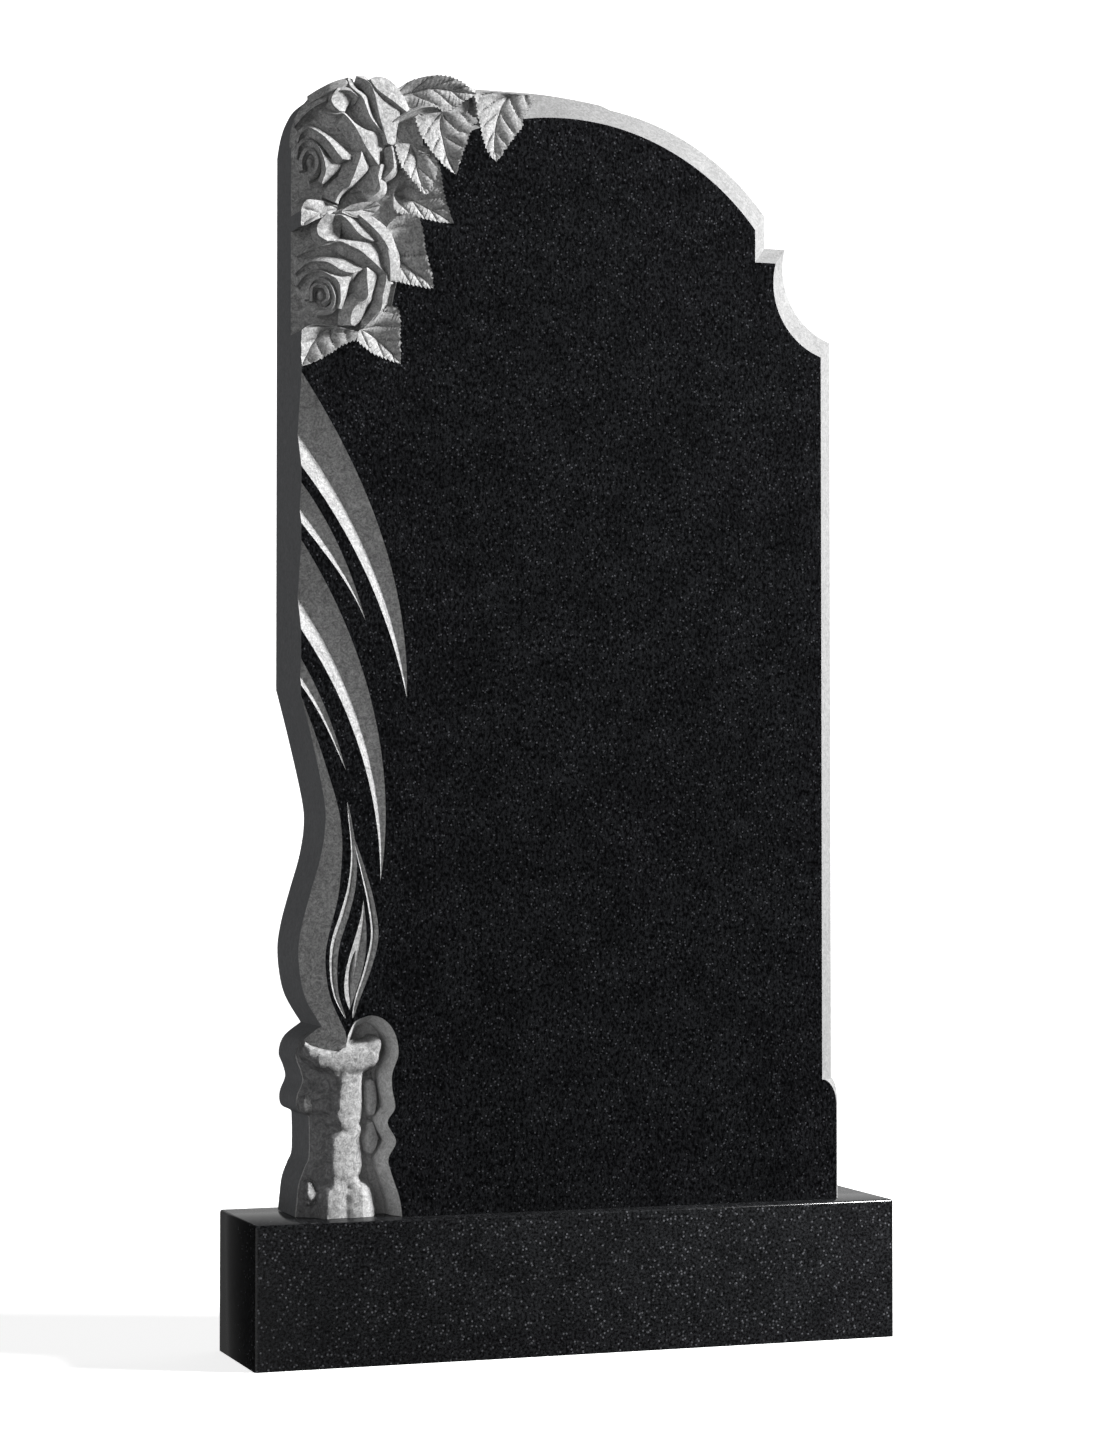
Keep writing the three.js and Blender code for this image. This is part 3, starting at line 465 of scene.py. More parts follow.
# Leaves: two halves that fall from toothed edges to a midrib, with side veins between. Each line
# runs from the base to the tip, level is how deep the base and the tip lie, fall limits the slope,
# and a plain edge has no teeth
leafSet = {
    "slope": 0.36, "deepest": 10, "steps": 84, "across": 36, "toothPitch": 4.4, "tooth": 2.4,
    "veinPitch": 21, "vein": 1.8, "veinWidth": 0.065, "veinSlant": 1.4, "puff": 1.5, "rib": 1.4,
    "ribWidth": 0.05, "settles": 0.6, "toothless": (10, 12), "veinFrom": 7, "veinTo": 4, "narrow": 12,
}
leaves = [
    {
        "near": [
            (222, 1160), (200, 1160), (187, 1157), (188, 1146), (189, 1135), (192, 1126), (195, 1112),
            (198, 1103), (203, 1094), (208.5, 1088),
        ],
        "far": [
            (230, 1160), (243, 1160), (249, 1157), (246, 1150), (240, 1141), (236, 1133), (236, 1127),
            (229, 1118), (221, 1107), (214, 1096), (208.5, 1088),
        ],
        "rib": [(226, 1160), (218, 1150), (212, 1135), (209, 1120), (208, 1105), (208.5, 1088)],
        "fall": 5,
    },
    {
        "near": [
            (103, 1148), (108, 1141), (114, 1136), (122, 1138), (134, 1143), (146, 1141), (152, 1137),
            (160, 1141), (170, 1148), (179, 1153), (187, 1157),
        ],
        "far": [
            (101, 1156), (110, 1163), (121, 1168), (134, 1171.5), (147, 1173), (158, 1172), (168, 1169),
            (175, 1165), (180, 1160), (187, 1157),
        ],
        "rib": [(100, 1150), (118, 1156), (138, 1161), (156, 1161), (172, 1158.5), (187, 1157)],
        "level": (13, 0),
    },
    {
        "near": [
            (100, 1046), (100, 1036), (106, 1030), (116, 1028), (126, 1026), (137, 1024), (148, 1022.5),
            (162, 1021),
        ],
        "far": [
            (101, 1054), (110, 1070), (124, 1083), (140, 1088), (147, 1074), (149, 1058), (152, 1045),
            (157, 1032), (162, 1021),
        ],
        "rib": [(100, 1050), (111, 1048), (121, 1045), (134, 1038), (148, 1030), (162, 1021)],
        "level": (9, 1),
    },
    {
        "near": [
            (116, 1101), (108, 1101), (101, 1099), (103, 1088), (106, 1079), (111, 1073), (117, 1066),
            (124, 1058), (129, 1052), (132.5, 1049),
        ],
        "far": [
            (118, 1100), (125, 1094), (132, 1091), (140, 1087), (144, 1079), (142, 1070), (139, 1061),
            (135, 1053), (132.5, 1049),
        ],
        "rib": [(117, 1100), (124, 1088), (125, 1075), (128, 1061), (132.5, 1049)],
        "level": (2, 0),
    },
    {
        "near": [
            (150, 1136), (138, 1134), (127, 1132), (122, 1128), (124, 1120), (127, 1113), (131, 1106),
            (137, 1098), (143, 1091), (150, 1084), (157, 1077), (165, 1072),
        ],
        "far": [
            (152, 1137), (164, 1138), (176, 1135), (187, 1129.5), (181, 1125), (179, 1117), (175, 1105),
            (171, 1095), (168, 1084), (165, 1072),
        ],
        "rib": [(150, 1136), (150, 1122), (153, 1107), (157, 1093), (162, 1080), (165, 1072)],
        "fall": 7,
    },
    {
        "near": [
            (84, 984), (86, 970), (95, 961), (106, 958), (116, 956), (126, 955), (134, 953.5),
            (140, 953),
        ],
        "far": [
            (84, 998), (91, 1012), (101, 1023), (113, 1028), (123, 1025), (128, 1010), (130, 994),
            (134, 979), (138, 965), (140, 953),
        ],
        "rib": [(84, 993), (98, 989), (112, 980), (124, 970), (132, 962), (140, 953)],
        "level": (10, 0), "fall": 13,
    },
    {
        "near": [
            (62, 906), (58, 899), (62, 893), (70, 887), (79, 882), (88, 879), (97, 876), (105, 873),
        ],
        "far": [
            (66, 908), (76, 918), (88, 928), (98, 931), (103, 924), (103.5, 908), (104, 893),
            (105, 873),
        ],
        "rib": [(64, 907), (76, 903), (87, 895), (97, 885), (105, 873)],
        "level": (4, 0), "fall": 12,
    },
    {
        "near": [(32, 909), (20, 910), (8, 908), (0, 903), (-3, 895), (-3, 885), (-1, 875), (0.5, 866)],
        "far": [
            (38, 908), (50, 906), (58, 903), (57, 897), (50, 894), (42, 890), (33, 884), (24, 878),
            (14, 872), (0.5, 866),
        ],
        "rib": [(35, 908), (24, 903), (15, 892), (9, 881), (3, 870), (0.5, 866)],
        "plain": ("near",),
    },
    {
        "near": [(42, 1035), (28, 1038), (14, 1038), (5, 1036), (0, 1026), (-1, 1010)],
        "far": [(42, 1030), (34, 1026), (24, 1021), (12, 1015), (5, 1011), (-1, 1010)],
        "rib": [(42, 1032), (28, 1028), (15, 1021), (6, 1015), (-1, 1010)],
        "level": (16, 3), "plain": ("near", "far"),
    },
    {
        "near": [(44, 1026), (53, 1023), (62, 1021.5), (73, 1024), (80, 1029), (85, 1036)],
        "far": [(44, 1029), (52, 1034), (61, 1037), (72, 1039), (80, 1039), (85, 1036)],
        "rib": [(44, 1028), (56, 1029), (70, 1032), (85, 1036)],
        "level": (5, 4), "plain": ("near", "far"),
    },
]


def leafEdge(leaf, side, outward):
    line = smoothLine(leaf[side], leafSet["steps"])
    if side in leaf.get("plain", ()):
        return line
    atBase, atTip = leafSet["toothless"]
    run, toothed = 0, []
    for i, (p, n) in enumerate(zip(line, sideways(line))):
        run += (p - line[max(i - 1, 0)]).length
        fade = max(0, min(1, (leafSet["steps"] - i) / atTip, i / atBase - 1))
        toothed.append(p + n * outward * leafSet["tooth"] * (run / leafSet["toothPitch"] % 1) * fade)
    return toothed


def leafLevel(leaf, share):
    base, tip = leaf.get("level", (0, 0))
    ease = min(share / leafSet["settles"], 1)
    return base + (tip - base) * ease * ease * (3 - 2 * ease)


def leafDepth(leaf, run, edge, width, half):
    fall = min(leafSet["slope"] * width, leaf.get("fall", leafSet["deepest"])) * (1 - edge)
    phase = (run - leafSet["veinSlant"] * half * edge) / leafSet["veinPitch"]
    beside = abs(phase - round(phase))
    inside = min(edge * leafSet["veinFrom"], 1) * (1 - edge ** leafSet["veinTo"])
    vein = leafSet["vein"] * math.exp(-(beside / leafSet["veinWidth"]) ** 2) * inside
    puff = leafSet["puff"] * math.sin(math.pi * edge) * math.sin(math.pi * beside)
    rib = leafSet["rib"] * math.exp(-(edge / leafSet["ribWidth"]) ** 2)
    return fall + (vein - puff + rib) * min(width / leafSet["narrow"], 1)


def carveLeaf(target, leaf):
    near, far = leafEdge(leaf, "near", 1), leafEdge(leaf, "far", -1)
    spine = smoothLine(leaf["rib"], leafSet["steps"])
    levels = [leafLevel(leaf, i / leafSet["steps"]) for i in range(len(spine))]
    half = blank["thickness"] / 2
    join(target, loft([
        [onStone(a, level), onStone(a, half), onStone(b, half), onStone(b, level)]
        for a, b, level in zip(near, far, levels)
    ]), cutStone)
    rings, run = [], 0
    for i, (a, c, b) in enumerate(zip(near, spine, far)):
        run += (c - spine[max(i - 1, 0)]).length
        ring = [onStone(a, -overcut)]
        width = ((a - c).length + (b - c).length) / 2
        for k in range(-leafSet["across"] // 2, leafSet["across"] // 2 + 1):
            edge = abs(k) * 2 / leafSet["across"]
            side = a if k < 0 else b
            depth = levels[i] + leafDepth(leaf, run, edge, width, (side - c).length)
            ring.append(onStone(c.lerp(side, edge), depth))
        ring.append(onStone(b, -overcut))
        rings.append(ring)
    carve(target, loft(rings), cutStone)


# Sunk ground round the flowers: an outline cut down to a floor that falls towards the left edge
ground = {
    "deepest": 46, "low": 870, "high": 1200, "steps": 40,
    "line": [
        (-12, 905), (30, 893), (56, 898), (82, 905), (94, 925), (98, 945), (102, 962), (124, 966),
        (124, 1000), (120, 1020), (114, 1032), (145, 1048), (143, 1080), (150, 1092), (129, 1100),
        (126, 1128), (147, 1136), (175, 1134), (184, 1150), (184, 1190), (-12, 1190),
    ],
    "floor": [(200, 7), (150, 7), (118, 9), (85, 16), (52, 28), (22, 40), (-20, 46)],
}


def groundCut():
    above = [(ground["floor"][-1][0], -overcut), (ground["floor"][0][0], -overcut)]
    section = above + [tuple(p) for p in smoothLine(ground["floor"], ground["steps"])]
    cut = makeObject("cutter", loft([
        [onStone(p, depth) for p in ground["line"]] for depth in (-overcut, ground["deepest"] + overcut)
    ]), cutStone)
    combine(cut, makeObject("section", loft([
        [onStone((x, up), depth) for x, depth in section] for up in (ground["low"], ground["high"])
    ]), cutStone), "INTERSECT")
    return cut


# Roses: each petal is a ridge with a rim, a hollow inner side and a broad rounded outer side.
# The lines are drawn as the camera sees them, and slide right with depth to where they lie
roseSet = {
    "crown": 0.8, "left": 24, "right": 2, "ends": 3, "steps": 56, "slide": 0.28, "taper": 2.5, "gain": 1.35,
    "rimHalf": 0.5, "rimDrop": 0.2, "backDrop": 0.3, "hollow": 0.7, "round": 1.3, "side": 8, "fine": 4,
    "wave": 0.8, "waveScale": 0.08, "heartTall": 1.3,
}
roses = [
    {
        "centre": (52, 1103), "across": 56, "up": 62, "dome": 14, "heart": (8, 1078, 3.5),
        "petals": [
            {
                "rim": [(72, 1166), (78, 1157), (87, 1150), (97, 1144), (106, 1138), (112, 1134)],
                "outer": [(78, 1170), (90, 1168), (100, 1161), (106, 1153), (111, 1146), (115, 1135)],
                "falls": (4, 5), "inner": 4, "lift": -2,
            },
            {
                "rim": [
                    (57, 1168), (71, 1162), (77, 1150), (80, 1138), (83, 1125), (87, 1113), (91, 1100),
                ],
                "outer": [
                    (66, 1170), (76, 1160), (88, 1149), (101, 1140), (104, 1132), (101, 1116),
                    (99, 1099),
                ],
                "falls": (8, 4), "inner": 9, "lift": -1,
            },
            {
                "rim": [
                    (48, 1166), (51, 1157), (58, 1151), (64, 1146), (68, 1137), (72, 1127), (79, 1118),
                    (86, 1112),
                ],
                "outer": [
                    (53, 1166), (57, 1157), (64, 1152), (70, 1147), (73, 1136), (77, 1127), (84, 1119),
                    (89, 1111),
                ],
                "falls": (14, 5), "inner": 15,
            },
            {
                "rim": [(35, 1147), (39, 1151), (46, 1152.5), (53, 1151), (60, 1146)],
                "outer": 4, "falls": (8, 4), "inner": 8,
            },
            {
                "rim": [(38, 1154), (33, 1147), (31, 1141), (34, 1135), (40, 1130)],
                "outer": [(56, 1153), (53, 1147), (50, 1141), (47, 1136), (45, 1131)],
                "falls": (8, 6), "inner": 8, "lift": -2,
            },
            {
                "rim": [
                    (17, 1130), (27, 1129), (35, 1127), (43, 1128), (47, 1125), (52, 1120), (57, 1114),
                    (61, 1107), (66, 1098), (73, 1088), (81, 1078),
                ],
                "outer": [
                    (17, 1138), (27, 1135), (35, 1132), (44, 1131), (50, 1126), (58, 1119), (70, 1114),
                    (86, 1112), (89, 1101), (87, 1091), (84, 1079),
                ],
                "falls": (9, 8), "inner": 14,
            },
            {
                "rim": [
                    (-5, 1100), (-2, 1108), (4, 1113), (10, 1113), (22, 1105), (30, 1097), (37, 1088),
                    (43, 1081),
                ],
                "outer": [
                    (-8, 1103), (-5, 1112), (3, 1117), (12, 1117), (27, 1107), (37, 1100), (47, 1091),
                    (57, 1082),
                ],
                "falls": (6, 6), "inner": 8,
            },
            {
                "rim": [
                    (-6, 1083), (-4, 1094), (2, 1100), (10, 1100), (17, 1094), (21, 1087), (24, 1078),
                    (25, 1068), (21, 1057),
                ],
                "outer": [
                    (-9, 1086), (-6, 1098), (1, 1104), (13, 1102), (22, 1094), (30, 1083), (45, 1079),
                    (34, 1067), (22, 1056),
                ],
                "falls": (5, 6), "inner": 5,
            },
            {
                "rim": [(0, 1071), (0, 1082), (6, 1091), (14, 1088), (17, 1077), (14, 1067), (6, 1063)],
                "outer": 3.5, "falls": (3.5, 3.5), "inner": 3.5,
            },
            {
                "rim": [
                    (63, 1090), (62, 1084), (59, 1076), (56, 1067), (52, 1058), (49, 1052), (43, 1049),
                    (38, 1043), (35, 1037),
                ],
                "outer": [
                    (65, 1090), (68, 1084), (71, 1076), (67, 1069), (60, 1062), (53, 1055), (47, 1051),
                    (41, 1045), (38, 1037),
                ],
                "falls": (9, 6), "inner": 16,
            },
            {
                "rim": [
                    (84, 1078), (81, 1067), (82, 1060), (83, 1054), (81, 1049), (76, 1045), (68, 1041),
                ],
                "outer": [
                    (88, 1079), (85, 1067), (89, 1060), (90, 1053), (87, 1047), (80, 1042), (70, 1038),
                ],
                "falls": (14, 3), "inner": 32, "lift": -1,
            },
            {
                "rim": [(-9, 1116), (1, 1126), (13, 1135), (26, 1141)],
                "outer": [(-10, 1124), (0, 1135), (13, 1144), (28, 1150)],
                "falls": (7, 5), "inner": 8, "lift": -2,
            },
            {
                "rim": [(8, 1139), (21, 1147), (35, 1153.5), (48, 1160)],
                "outer": [(5, 1147), (20, 1155), (34, 1161.5), (47, 1166)],
                "falls": (6, 5), "inner": 7, "lift": -2,
            },
            {
                "rim": [(95, 1098), (97, 1085), (97, 1075), (92, 1068), (87, 1063)],
                "outer": [(99, 1099), (103, 1086), (102, 1074), (98, 1066), (88, 1060)],
                "falls": (7, 3), "inner": 9, "lift": -2,
            },
            {
                "rim": [(97, 1123), (109, 1130.5), (120, 1136), (132, 1140.5), (146, 1141.5)],
                "outer": 3, "falls": (5, 4), "inner": 3, "level": 1,
            },
        ],
    },
    {
        "centre": (54, 968), "across": 56, "up": 60, "dome": 14, "heart": (20, 941, 3.5),
        "petals": [
            {
                "rim": [(60, 1025), (70, 1017), (79, 1009), (86, 1001), (91, 993), (95, 985)],
                "outer": [(66, 1029), (78, 1022), (88, 1015), (95, 1007), (99, 997), (104, 985)],
                "falls": (7, 3), "inner": 9, "lift": -2,
            },
            {
                "rim": [(91, 992), (93, 981), (94, 970), (94, 958)],
                "outer": [(101, 993), (104, 982), (104, 970), (103, 958)],
                "falls": (7, 3), "inner": 7, "lift": -2,
            },
            {
                "rim": [
                    (34, 1023), (40, 1024), (46, 1021), (53, 1014), (58, 1008), (66, 1002), (76, 999),
                ],
                "outer": [
                    (34, 1028), (43, 1031), (54, 1027), (63, 1017), (71, 1010), (78, 1006), (85, 1000),
                ],
                "falls": (14, 5), "inner": 13,
            },
            {
                "rim": [(28, 1025), (20, 1018), (16, 1010), (18, 1002), (27, 996)],
                "outer": [(43, 1024), (42, 1018), (41, 1011), (40, 1004), (39, 998)],
                "falls": (8, 6), "inner": 7, "lift": -5,
            },
            {
                "rim": [
                    (-6, 983), (6, 988), (16, 991), (28, 993), (36, 996), (42, 996), (52, 992),
                    (62, 988), (71, 981), (80, 974), (89, 967),
                ],
                "outer": [
                    (-6, 991), (6, 995), (18, 997), (30, 999), (40, 1001), (55, 1000), (77, 1000),
                    (84, 992), (89, 982), (91, 972), (91, 966),
                ],
                "falls": (8, 8), "inner": 12,
            },
            {
                "rim": [
                    (-8, 965), (0, 972), (8, 976), (18, 976), (27, 975), (35, 971), (41, 967),
                    (49, 965), (55, 965),
                ],
                "outer": [
                    (-10, 970), (-2, 978), (8, 981), (20, 982), (32, 981), (44, 979), (54, 974),
                    (65, 970), (64, 968),
                ],
                "falls": (6, 6), "inner": 7,
            },
            {
                "rim": [
                    (-6, 952), (0, 960), (8, 965), (19, 966), (29, 962), (36, 958), (40, 952),
                    (41, 943), (41, 935), (39, 928),
                ],
                "outer": [
                    (-9, 955), (-2, 965), (8, 969), (20, 969), (33, 965), (44, 963), (54, 964),
                    (50, 955), (47, 942), (42, 928),
                ],
                "falls": (5, 6), "inner": 5,
            },
            {
                "rim": [
                    (7, 938), (8, 950), (13, 957), (20, 958), (28, 955), (33, 946), (35, 938),
                    (33, 930), (26, 926), (16, 926),
                ],
                "outer": 4, "falls": (4, 4), "inner": 4,
            },
            {
                "rim": [(11, 936), (11, 947), (16, 952), (24, 951), (28, 944), (28, 937), (22, 932)],
                "outer": 3, "falls": (3, 3), "inner": 3,
            },
            {
                "rim": [
                    (69, 971), (69, 960), (70, 950), (70, 941), (66, 936), (59, 932), (54, 926),
                    (52, 919), (52, 912),
                ],
                "outer": [
                    (73, 971), (80, 966), (78, 955), (75, 945), (74, 938), (69, 932), (66, 925),
                    (62, 917), (56, 911),
                ],
                "falls": (9, 6), "inner": 14,
            },
            {
                "rim": [(90, 966), (89, 955), (86, 942), (85, 932), (82, 924), (75, 916), (65, 911)],
                "outer": [(96, 962), (101, 947), (97, 936), (91, 926), (83, 918), (73, 911), (60, 906)],
                "falls": (8, 3), "inner": 12, "lift": -1,
            },
        ],
    },
]


def roseDepth(rose, point):
    across = (point[0] - rose["centre"][0]) / rose["across"]
    up = (point[1] - rose["centre"][1]) / rose["up"]
    side = roseSet["left"] if across < 0 else roseSet["right"]
    return roseSet["crown"] + side * across ** 2 + roseSet["ends"] * up ** 2


def asSeen(point, depth):
    return onStone((point[0] + roseSet["slide"] * depth, point[1]), depth)


def petalRidge(rose, petal):
    steps, side, scale = roseSet["steps"], roseSet["side"], roseSet["waveScale"]
    spine = smoothLine(petal["rim"], steps)
    beside = sideways(spine)
    hollowFall, roundFall = petal["falls"][0] * roseSet["gain"], petal["falls"][1]
    if isinstance(petal["outer"], list):
        outerFoot = smoothLine(petal["outer"], steps)
    else:
        outerFoot = [p - n * petal["outer"] for p, n in zip(spine, beside)]
    rings = []
    for i, (p, n, far) in enumerate(zip(spine, beside, outerFoot)):
        sunk = roseSet["taper"] * (1 - math.sin(math.pi * i / steps) ** 0.5)
        near = p + n * petal["inner"]
        top = petal.get("level", roseDepth(rose, p) + petal.get("lift", 0)) + sunk
        top += roseSet["wave"] * noise.noise(Vector((p.x * scale, p.y * scale, hollowFall)))
        floor = max(ground["deepest"], top + hollowFall, top + roundFall) + overcut
        ring = [asSeen(near, floor)]
        for k in range(side, 0, -1):  # steep under the rim, flat at its foot
            ring.append(asSeen(p.lerp(near, k / side), top + hollowFall * (k / side) ** roseSet["hollow"]))
        ring.append(asSeen(p + n * roseSet["rimHalf"], top + roseSet["rimDrop"]))
        ring.append(asSeen(p, top))
        for k in range(1, side + 1):  # nearly flat at the rim, then rounding over
            back = roseSet["backDrop"] + roundFall * (k / side) ** roseSet["round"]
            ring.append(asSeen(p.lerp(far, k / side), top + back))
        ring.append(asSeen(far, floor))
        rings.append(ring)
    return loft(rings)


def carveRose(target, rose):
    depth = ground["deepest"] + overcut
    middle = (rose["centre"][0] + roseSet["slide"] * rose["dome"], rose["centre"][1])
    dome = pebble(onStone(middle, depth), (rose["across"], depth - rose["dome"], rose["up"]), roseSet["fine"])
    join(target, dome, cutStone)
    for petal in rose["petals"]:
        join(target, petalRidge(rose, petal), cutStone)
    x, y, size = rose["heart"]
    middle = asSeen((x, y), roseDepth(rose, (x, y)) + size)
    join(target, pebble(middle, (size, size, roseSet["heartTall"] * size)), cutStone)


# Candle: a pocket with a steep wall, and in it the candle, its molten rim and its drips
pocket = {
    "steps": 120, "depth": 32, "bevel": 16, "bevelDraft": 8, "footDraft": 9,
    "wall": [
        (50, 186), (57, 199), (67, 204), (76, 205.5), (85, 203), (94, 196), (100, 186), (103, 175),
        (103, 163), (97, 146), (97, 130), (100, 111), (92, 96), (101, 77), (93, 60), (95, 48),
        (99, 36), (105, 18), (108, -3),
    ],
    "outside": [(-12, -3), (-12, 181), (9, 179), (18, 174), (29, 170.5), (40, 171), (48, 173.5)],
}
candleSet = {
    "rows": 150, "around": 84, "left": (9, 24, 1.3), "right": (9, 24, 1.25), "apex": 0.42, "blend": 1.6,
    "slide": 0.28, "top": 190, "rough": 0.5, "flank": -0.22, "paintedShadeEnds": 45, "gap": 0.05,
    "drips": (68, 142), "sideSteps": 900, "rimSteps": 120, "above": [(100, 200), (-12, 200)],
    "swell": (2.5, 7), "roughScale": 0.15,
}
candleRight = [
    (86, 186), (87, 164), (86, 149), (85, 115), (82, 98), (86, 78), (80, 60), (82, 38), (88, 18),
    (90, 0),
]
rimLine = [
    (0, 181), (9, 180), (18, 175), (29, 171.5), (40, 172), (50, 175), (56, 180), (66, 179.5), (74, 181),
    (80, 185), (87, 182), (92, 170),
]
wax = [  # each run as place across and up, half width and depth of its crest, and its tilt
    ([
        (3, 178, 4, 11), (12, 168, 8, 6), (24, 162, 11, 3.5), (40, 159, 14, 2.5), (60, 160, 15, 2.5),
        (72, 164, 14, 3.5), (82, 176, 7, 5),
    ], 0),
    ([(56, 156, 14, 5), (53, 138, 15, 5.5), (52, 118, 17, 6), (51, 104, 17, 6), (50, 99, 14, 6)], 0.22),
    ([(58, 88, 9, 10), (48, 72, 20, 7), (48.5, 52, 21, 7), (47, 38, 19, 9)], 0.22),
    ([(39, 19, 17, 6), (39, 8, 17, 6), (39, -6, 17, 6)], 0.15),
    ([(58, 33, 9, 9), (64, 20, 17, 7), (65, 6, 18, 7), (65, -6, 18, 8)], 0.15),
    ([(33, 154, 7, 7), (44, 143, 8, 6)], 0.1),
    ([(75, 134, 6, 18), (76, 120, 8, 16), (77, 108, 7, 16)], 0),
    ([(76, 92, 5, 19), (77, 78, 9, 15), (77, 71, 9, 14)], 0),
    ([(6, 118, 7, 22), (7, 112, 8, 21)], 0),
    ([(11, 32, 6, 15), (13, 24, 9, 14), (11, 17, 6, 17)], 0.5),
]


def pocketCut():
    wall = smoothLine(pocket["wall"], pocket["steps"])
    levels = [(0, -overcut), (0, 0), (pocket["bevelDraft"], pocket["bevel"])]
    levels.append((pocket["footDraft"], pocket["depth"]))
    rings = []
    for inset, depth in levels:
        line = [p + n * inset for p, n in zip(wall, sideways(wall))]
        rings.append([onStone(p, depth) for p in line + pocket["outside"]])
    return loft(rings)


def crossing(side, height):
    return min(side, key=lambda p: abs(p.y - height)).x


def waxDepth(run, tilt, x, y):
    best = pocket["depth"] * 2
    near, far = candleSet["swell"]
    for (x1, y1, w1, d1), (x2, y2, w2, d2) in zip(run, run[1:]):
        x1, x2 = x1 + candleSet["slide"] * d1, x2 + candleSet["slide"] * d2
        dx, dy = x2 - x1, y2 - y1
        t = max(0, min(1, ((x - x1) * dx + (y - y1) * dy) / (dx * dx + dy * dy)))
        away = math.hypot(x - x1 - dx * t, y - y1 - dy * t) / (w1 + (w2 - w1) * t)
        crest = d1 + (d2 - d1) * t + tilt * (x - x1 - dx * t)
        best = min(best, crest + near * away ** 2 + far * away ** 6)
    return best


def candleDepth(x, y, west, east):
    share = (x - west) / (east - west)
    apex = candleSet["apex"]
    crest, fall, power = candleSet["left"] if share < apex else candleSet["right"]
    depth = crest + fall * (abs(share - apex) / (apex if share < apex else 1 - apex)) ** power
    blend = candleSet["blend"]
    total = math.exp(-depth / blend)
    for run, tilt in wax:
        total += math.exp(-waxDepth(run, tilt, x, y) / blend)
    rough = noise.noise(Vector((x * candleSet["roughScale"], y * candleSet["roughScale"], 3)))
    return candleSet["rough"] * rough - math.log(total) * blend


def buildCandle():
    leftSide = smoothLine(candleLeft, candleSet["sideSteps"])
    rightSide = smoothLine(candleRight, candleSet["sideSteps"])
    floor = pocket["depth"] + overcut
    rings = []
    for r in range(candleSet["rows"] + 1):
        height = candleSet["top"] * r / candleSet["rows"]
        west = crossing(leftSide, height) + candleSet["gap"]
        east = crossing(rightSide, height)
        ring = [onStone((west, height), floor + overcut)]
        for i in range(candleSet["around"] + 1):
            x = west + (east - west) * i / candleSet["around"]
            ring.append(onStone((x, height), min(candleDepth(x, height, west, east), floor)))
        ring.append(onStone((east, height), floor + overcut))
        rings.append(ring)
    bm = loft(rings)
    bm.normal_update()
    for face in bm.faces:  # the left flank, turned away from the key, gets painted shade, and the drips in the pocket get the pocket's painted light
        turned = face.normal.x < candleSet["flank"]
        middle = (face.calc_center_median() - slabLow) / mm
        drip = middle.x > candleSet["drips"][0] and middle.z < candleSet["drips"][1]
        face.material_index = 1 if turned and middle.x < candleSet["paintedShadeEnds"] else 2 if drip else 0
    return makeObject("candle", bm, cutStone, flankPaintedShade, pocketPaintedLight)


def rimCut():
    outline = smoothLine(rimLine, candleSet["rimSteps"]) + candleSet["above"]
    return loft([[onStone(p, depth) for p in outline] for depth in (-overcut, pocket["depth"])])


combine(slab, groundCut(), "DIFFERENCE")
for leaf in leaves:
    carveLeaf(slab, leaf)
print("leaves carved")
for upper, lower in sweeps:
    carve(slab, sweepCut(upper, lower), cutStone)
carve(slab, sweepCut(*tongue), cutStone)
carve(slab, sweepCut(*slot, flameSet["slotRatio"]), cutStone)
for path, width in flame:
    carve(slab, strokeCut(path, width), cutStone)
print("grooves and flame cut")
for rose in roses:
    carveRose(slab, rose)
print("roses carved")
trim = {"from": 560, "past": 50}  # whatever of a petal or leaf reaches over the left edge
past = trim["past"] * mm
trimLow = Vector((slabLow.x - past, slabLow.y - past, slabLow.z + trim["from"] * mm))
trimHigh = Vector((slabLow.x, slabHigh.y + past, slabHigh.z + past))
carve(slab, block(trimLow, trimHigh), sawnSide)
# The pocket takes the lighter finish, painted light in its shade
carve(slab, pocketCut(), pocketPaintedLight)
candle = buildCandle()
carve(candle, rimCut(), cutStone)
combine(slab, candle, "UNION")
crease(slab, blank["crease"])
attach(slab, "root")
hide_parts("slab")
print("candle carved, slab has", sum(len(p.vertices) - 2 for p in slab.data.polygons), "triangles")


# Plinth: a polished block with small arrises
plinthSet = {"arris": 2.5, "underside": 0.01, "crease": 50}


def buildPlinth():
    bm = block(plinthLow, plinthHigh)
    above = plinthLow.z + plinthSet["underside"]
    sharp = [e for e in bm.edges if max(v.co.z for v in e.verts) > above]
    bmesh.ops.bevel(bm, geom=sharp, offset=plinthSet["arris"] * mm, offset_type="OFFSET", segments=2,
                    profile=0.5, affect="EDGES", material=-1)
    made = makeObject("plinth_block", bm, plinthPolish)
    crease(made, plinthSet["crease"])
    return made


plinth = buildPlinth()
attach(plinth, "root")
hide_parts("plinth")
print("plinth made")


# Stage: a pale floor that turns up into a pale wall
stageSet = {
    "front": -5.5, "back": 5.5, "bend": 1.2, "bendSteps": 16, "half": 6.0, "height": 6.0, "crease": 40,
    "paint": "#f4f4f4", "roughness": 0.9, "glowTint": "#ffffff", "glow": 0.8,
}


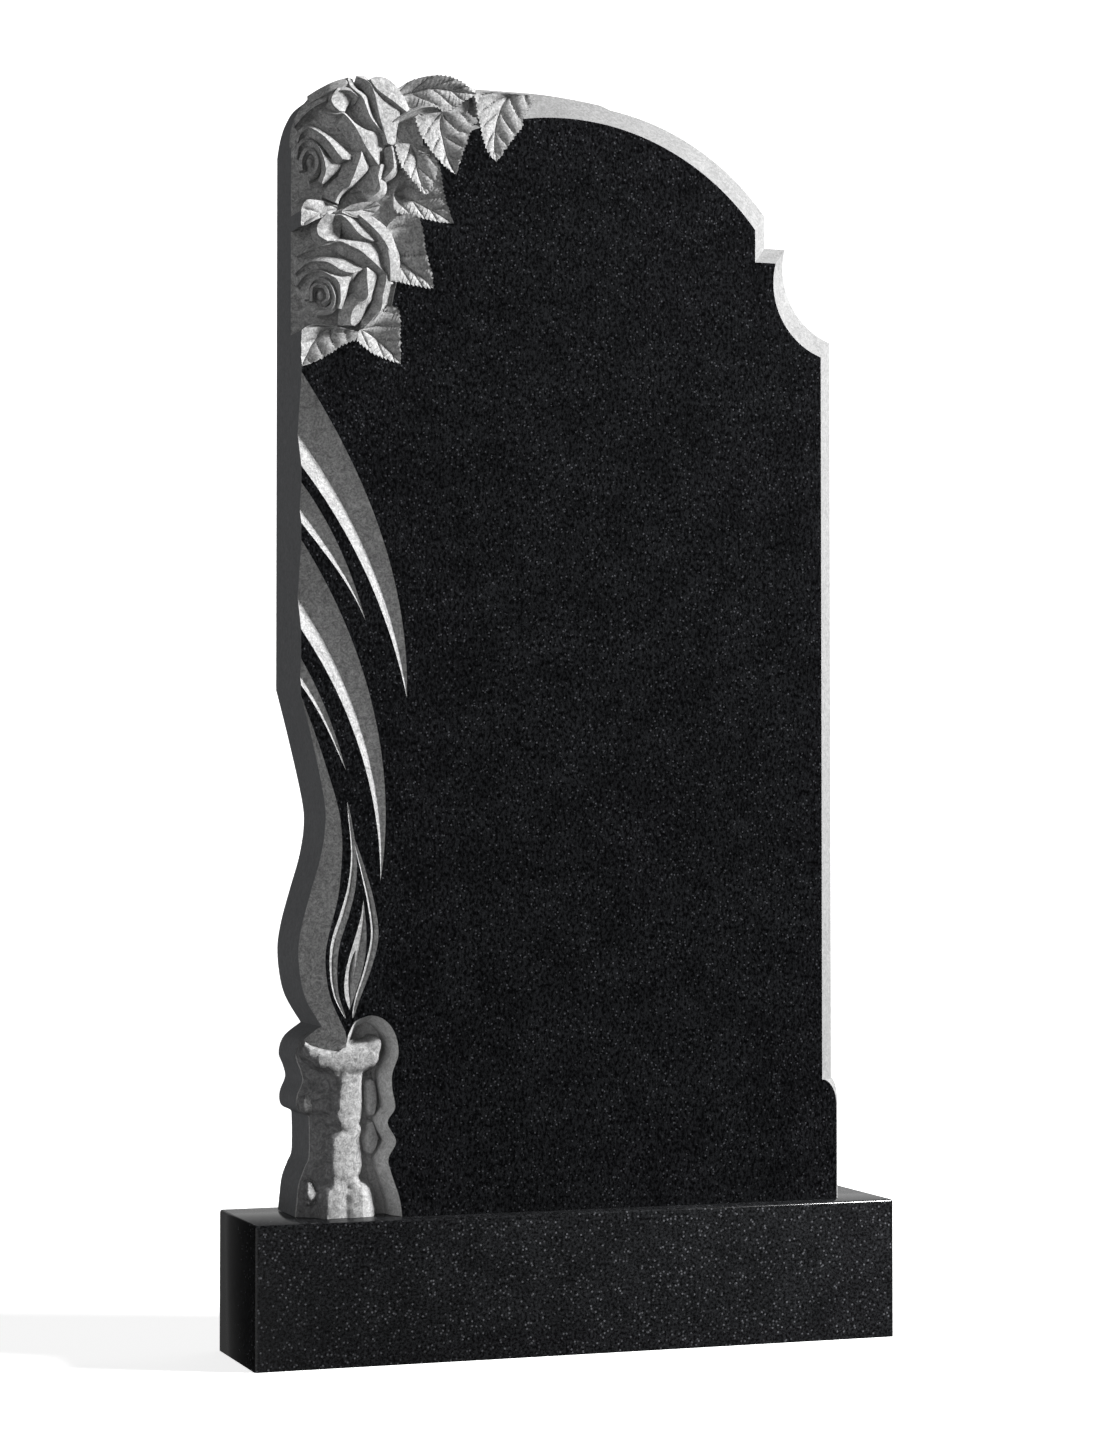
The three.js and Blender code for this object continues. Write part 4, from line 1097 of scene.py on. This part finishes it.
def buildStage():
    back, bend = stageSet["back"], stageSet["bend"]
    profile = [Vector((0, stageSet["front"], 0)), Vector((0, back - bend, 0))]
    for i in range(1, stageSet["bendSteps"] + 1):
        turn = math.pi / 2 * i / stageSet["bendSteps"]
        profile.append(Vector((0, back - bend * (1 - math.sin(turn)), bend * (1 - math.cos(turn)))))
    profile.append(Vector((0, back, stageSet["height"])))
    bm = bmesh.new()
    verts = [bm.verts.new(p - Vector((stageSet["half"], 0, 0))) for p in profile]
    edges = [bm.edges.new(pair) for pair in zip(verts, verts[1:])]
    swept = bmesh.ops.extrude_edge_only(bm, edges=edges)["geom"]
    moved = [g for g in swept if isinstance(g, bmesh.types.BMVert)]
    bmesh.ops.translate(bm, verts=moved, vec=(2 * stageSet["half"], 0, 0))
    bmesh.ops.recalc_face_normals(bm, faces=bm.faces)
    finish = newFinish("pale_backdrop")  # matt paint that glows a little, so the shadow on it stays faint
    shader = addNode(finish, "ShaderNodeBsdfPrincipled", {
        "Base Color": toLinear(stageSet["paint"]), "Roughness": stageSet["roughness"],
        "Emission Color": toLinear(stageSet["glowTint"]), "Emission Strength": stageSet["glow"],
    })
    addNode(finish, "ShaderNodeOutputMaterial", {}, {"Surface": shader.outputs["BSDF"]})
    made = makeObject("backdrop", bm, finish)
    crease(made, stageSet["crease"])
    return made


backdrop = buildStage()
backdrop.visible_diffuse = False  # it stays out of the polish and lends the shaded sides no light
backdrop.visible_glossy = False

# Key light: one soft box, high on the right
keySet = {"place": (3.4, -1.7, 2.9), "target": (0, 0, 0.7), "size": 0.9, "power": 500}
keyData = bpy.data.lights.new("key", "AREA")
keyData.size = keySet["size"]
keyData.energy = keySet["power"]
key = bpy.data.objects.new("key", keyData)
key.location = keySet["place"]
key.rotation_euler = (Vector(keySet["target"]) - Vector(keySet["place"])).to_track_quat("-Z", "Y").to_euler()
collection.objects.link(key)

# The room: a soft fill from the front left, dark in front of the polish, and paler behind
room = {
    "axis": (0.8, 0.6, 0.0),
    "tones": [
        (0.0, "#d8d8d8"), (0.08, "#d4d4d4"), (0.17, "#484848"), (0.26, "#2c2c2c"), (0.42, "#1c1c1c"),
        (0.62, "#2a2a2a"), (0.76, "#404040"), (0.9, "#bcbcbc"), (1.0, "#bcbcbc"),
    ],
}
world = bpy.data.worlds.new("studio")
world.use_nodes = True
direction = addNode(world, "ShaderNodeTexCoord").outputs["Generated"]
along = addNode(world, "ShaderNodeVectorMath", {"operation": "DOT_PRODUCT", 1: room["axis"]}, {0: direction})
fromTo = {"From Min": -1.0, "From Max": 1.0}
share = addNode(world, "ShaderNodeMapRange", fromTo, {"Value": along.outputs["Value"]})
tone = addNode(world, "ShaderNodeValToRGB", {"stops": room["tones"]}, {"Fac": share.outputs["Result"]})
world.node_tree.links.new(tone.outputs["Color"], world.node_tree.nodes["Background"].inputs["Color"])
bpy.context.scene.world = world
bpy.context.scene.view_settings.view_transform = "Standard"
print("stage and lights set")
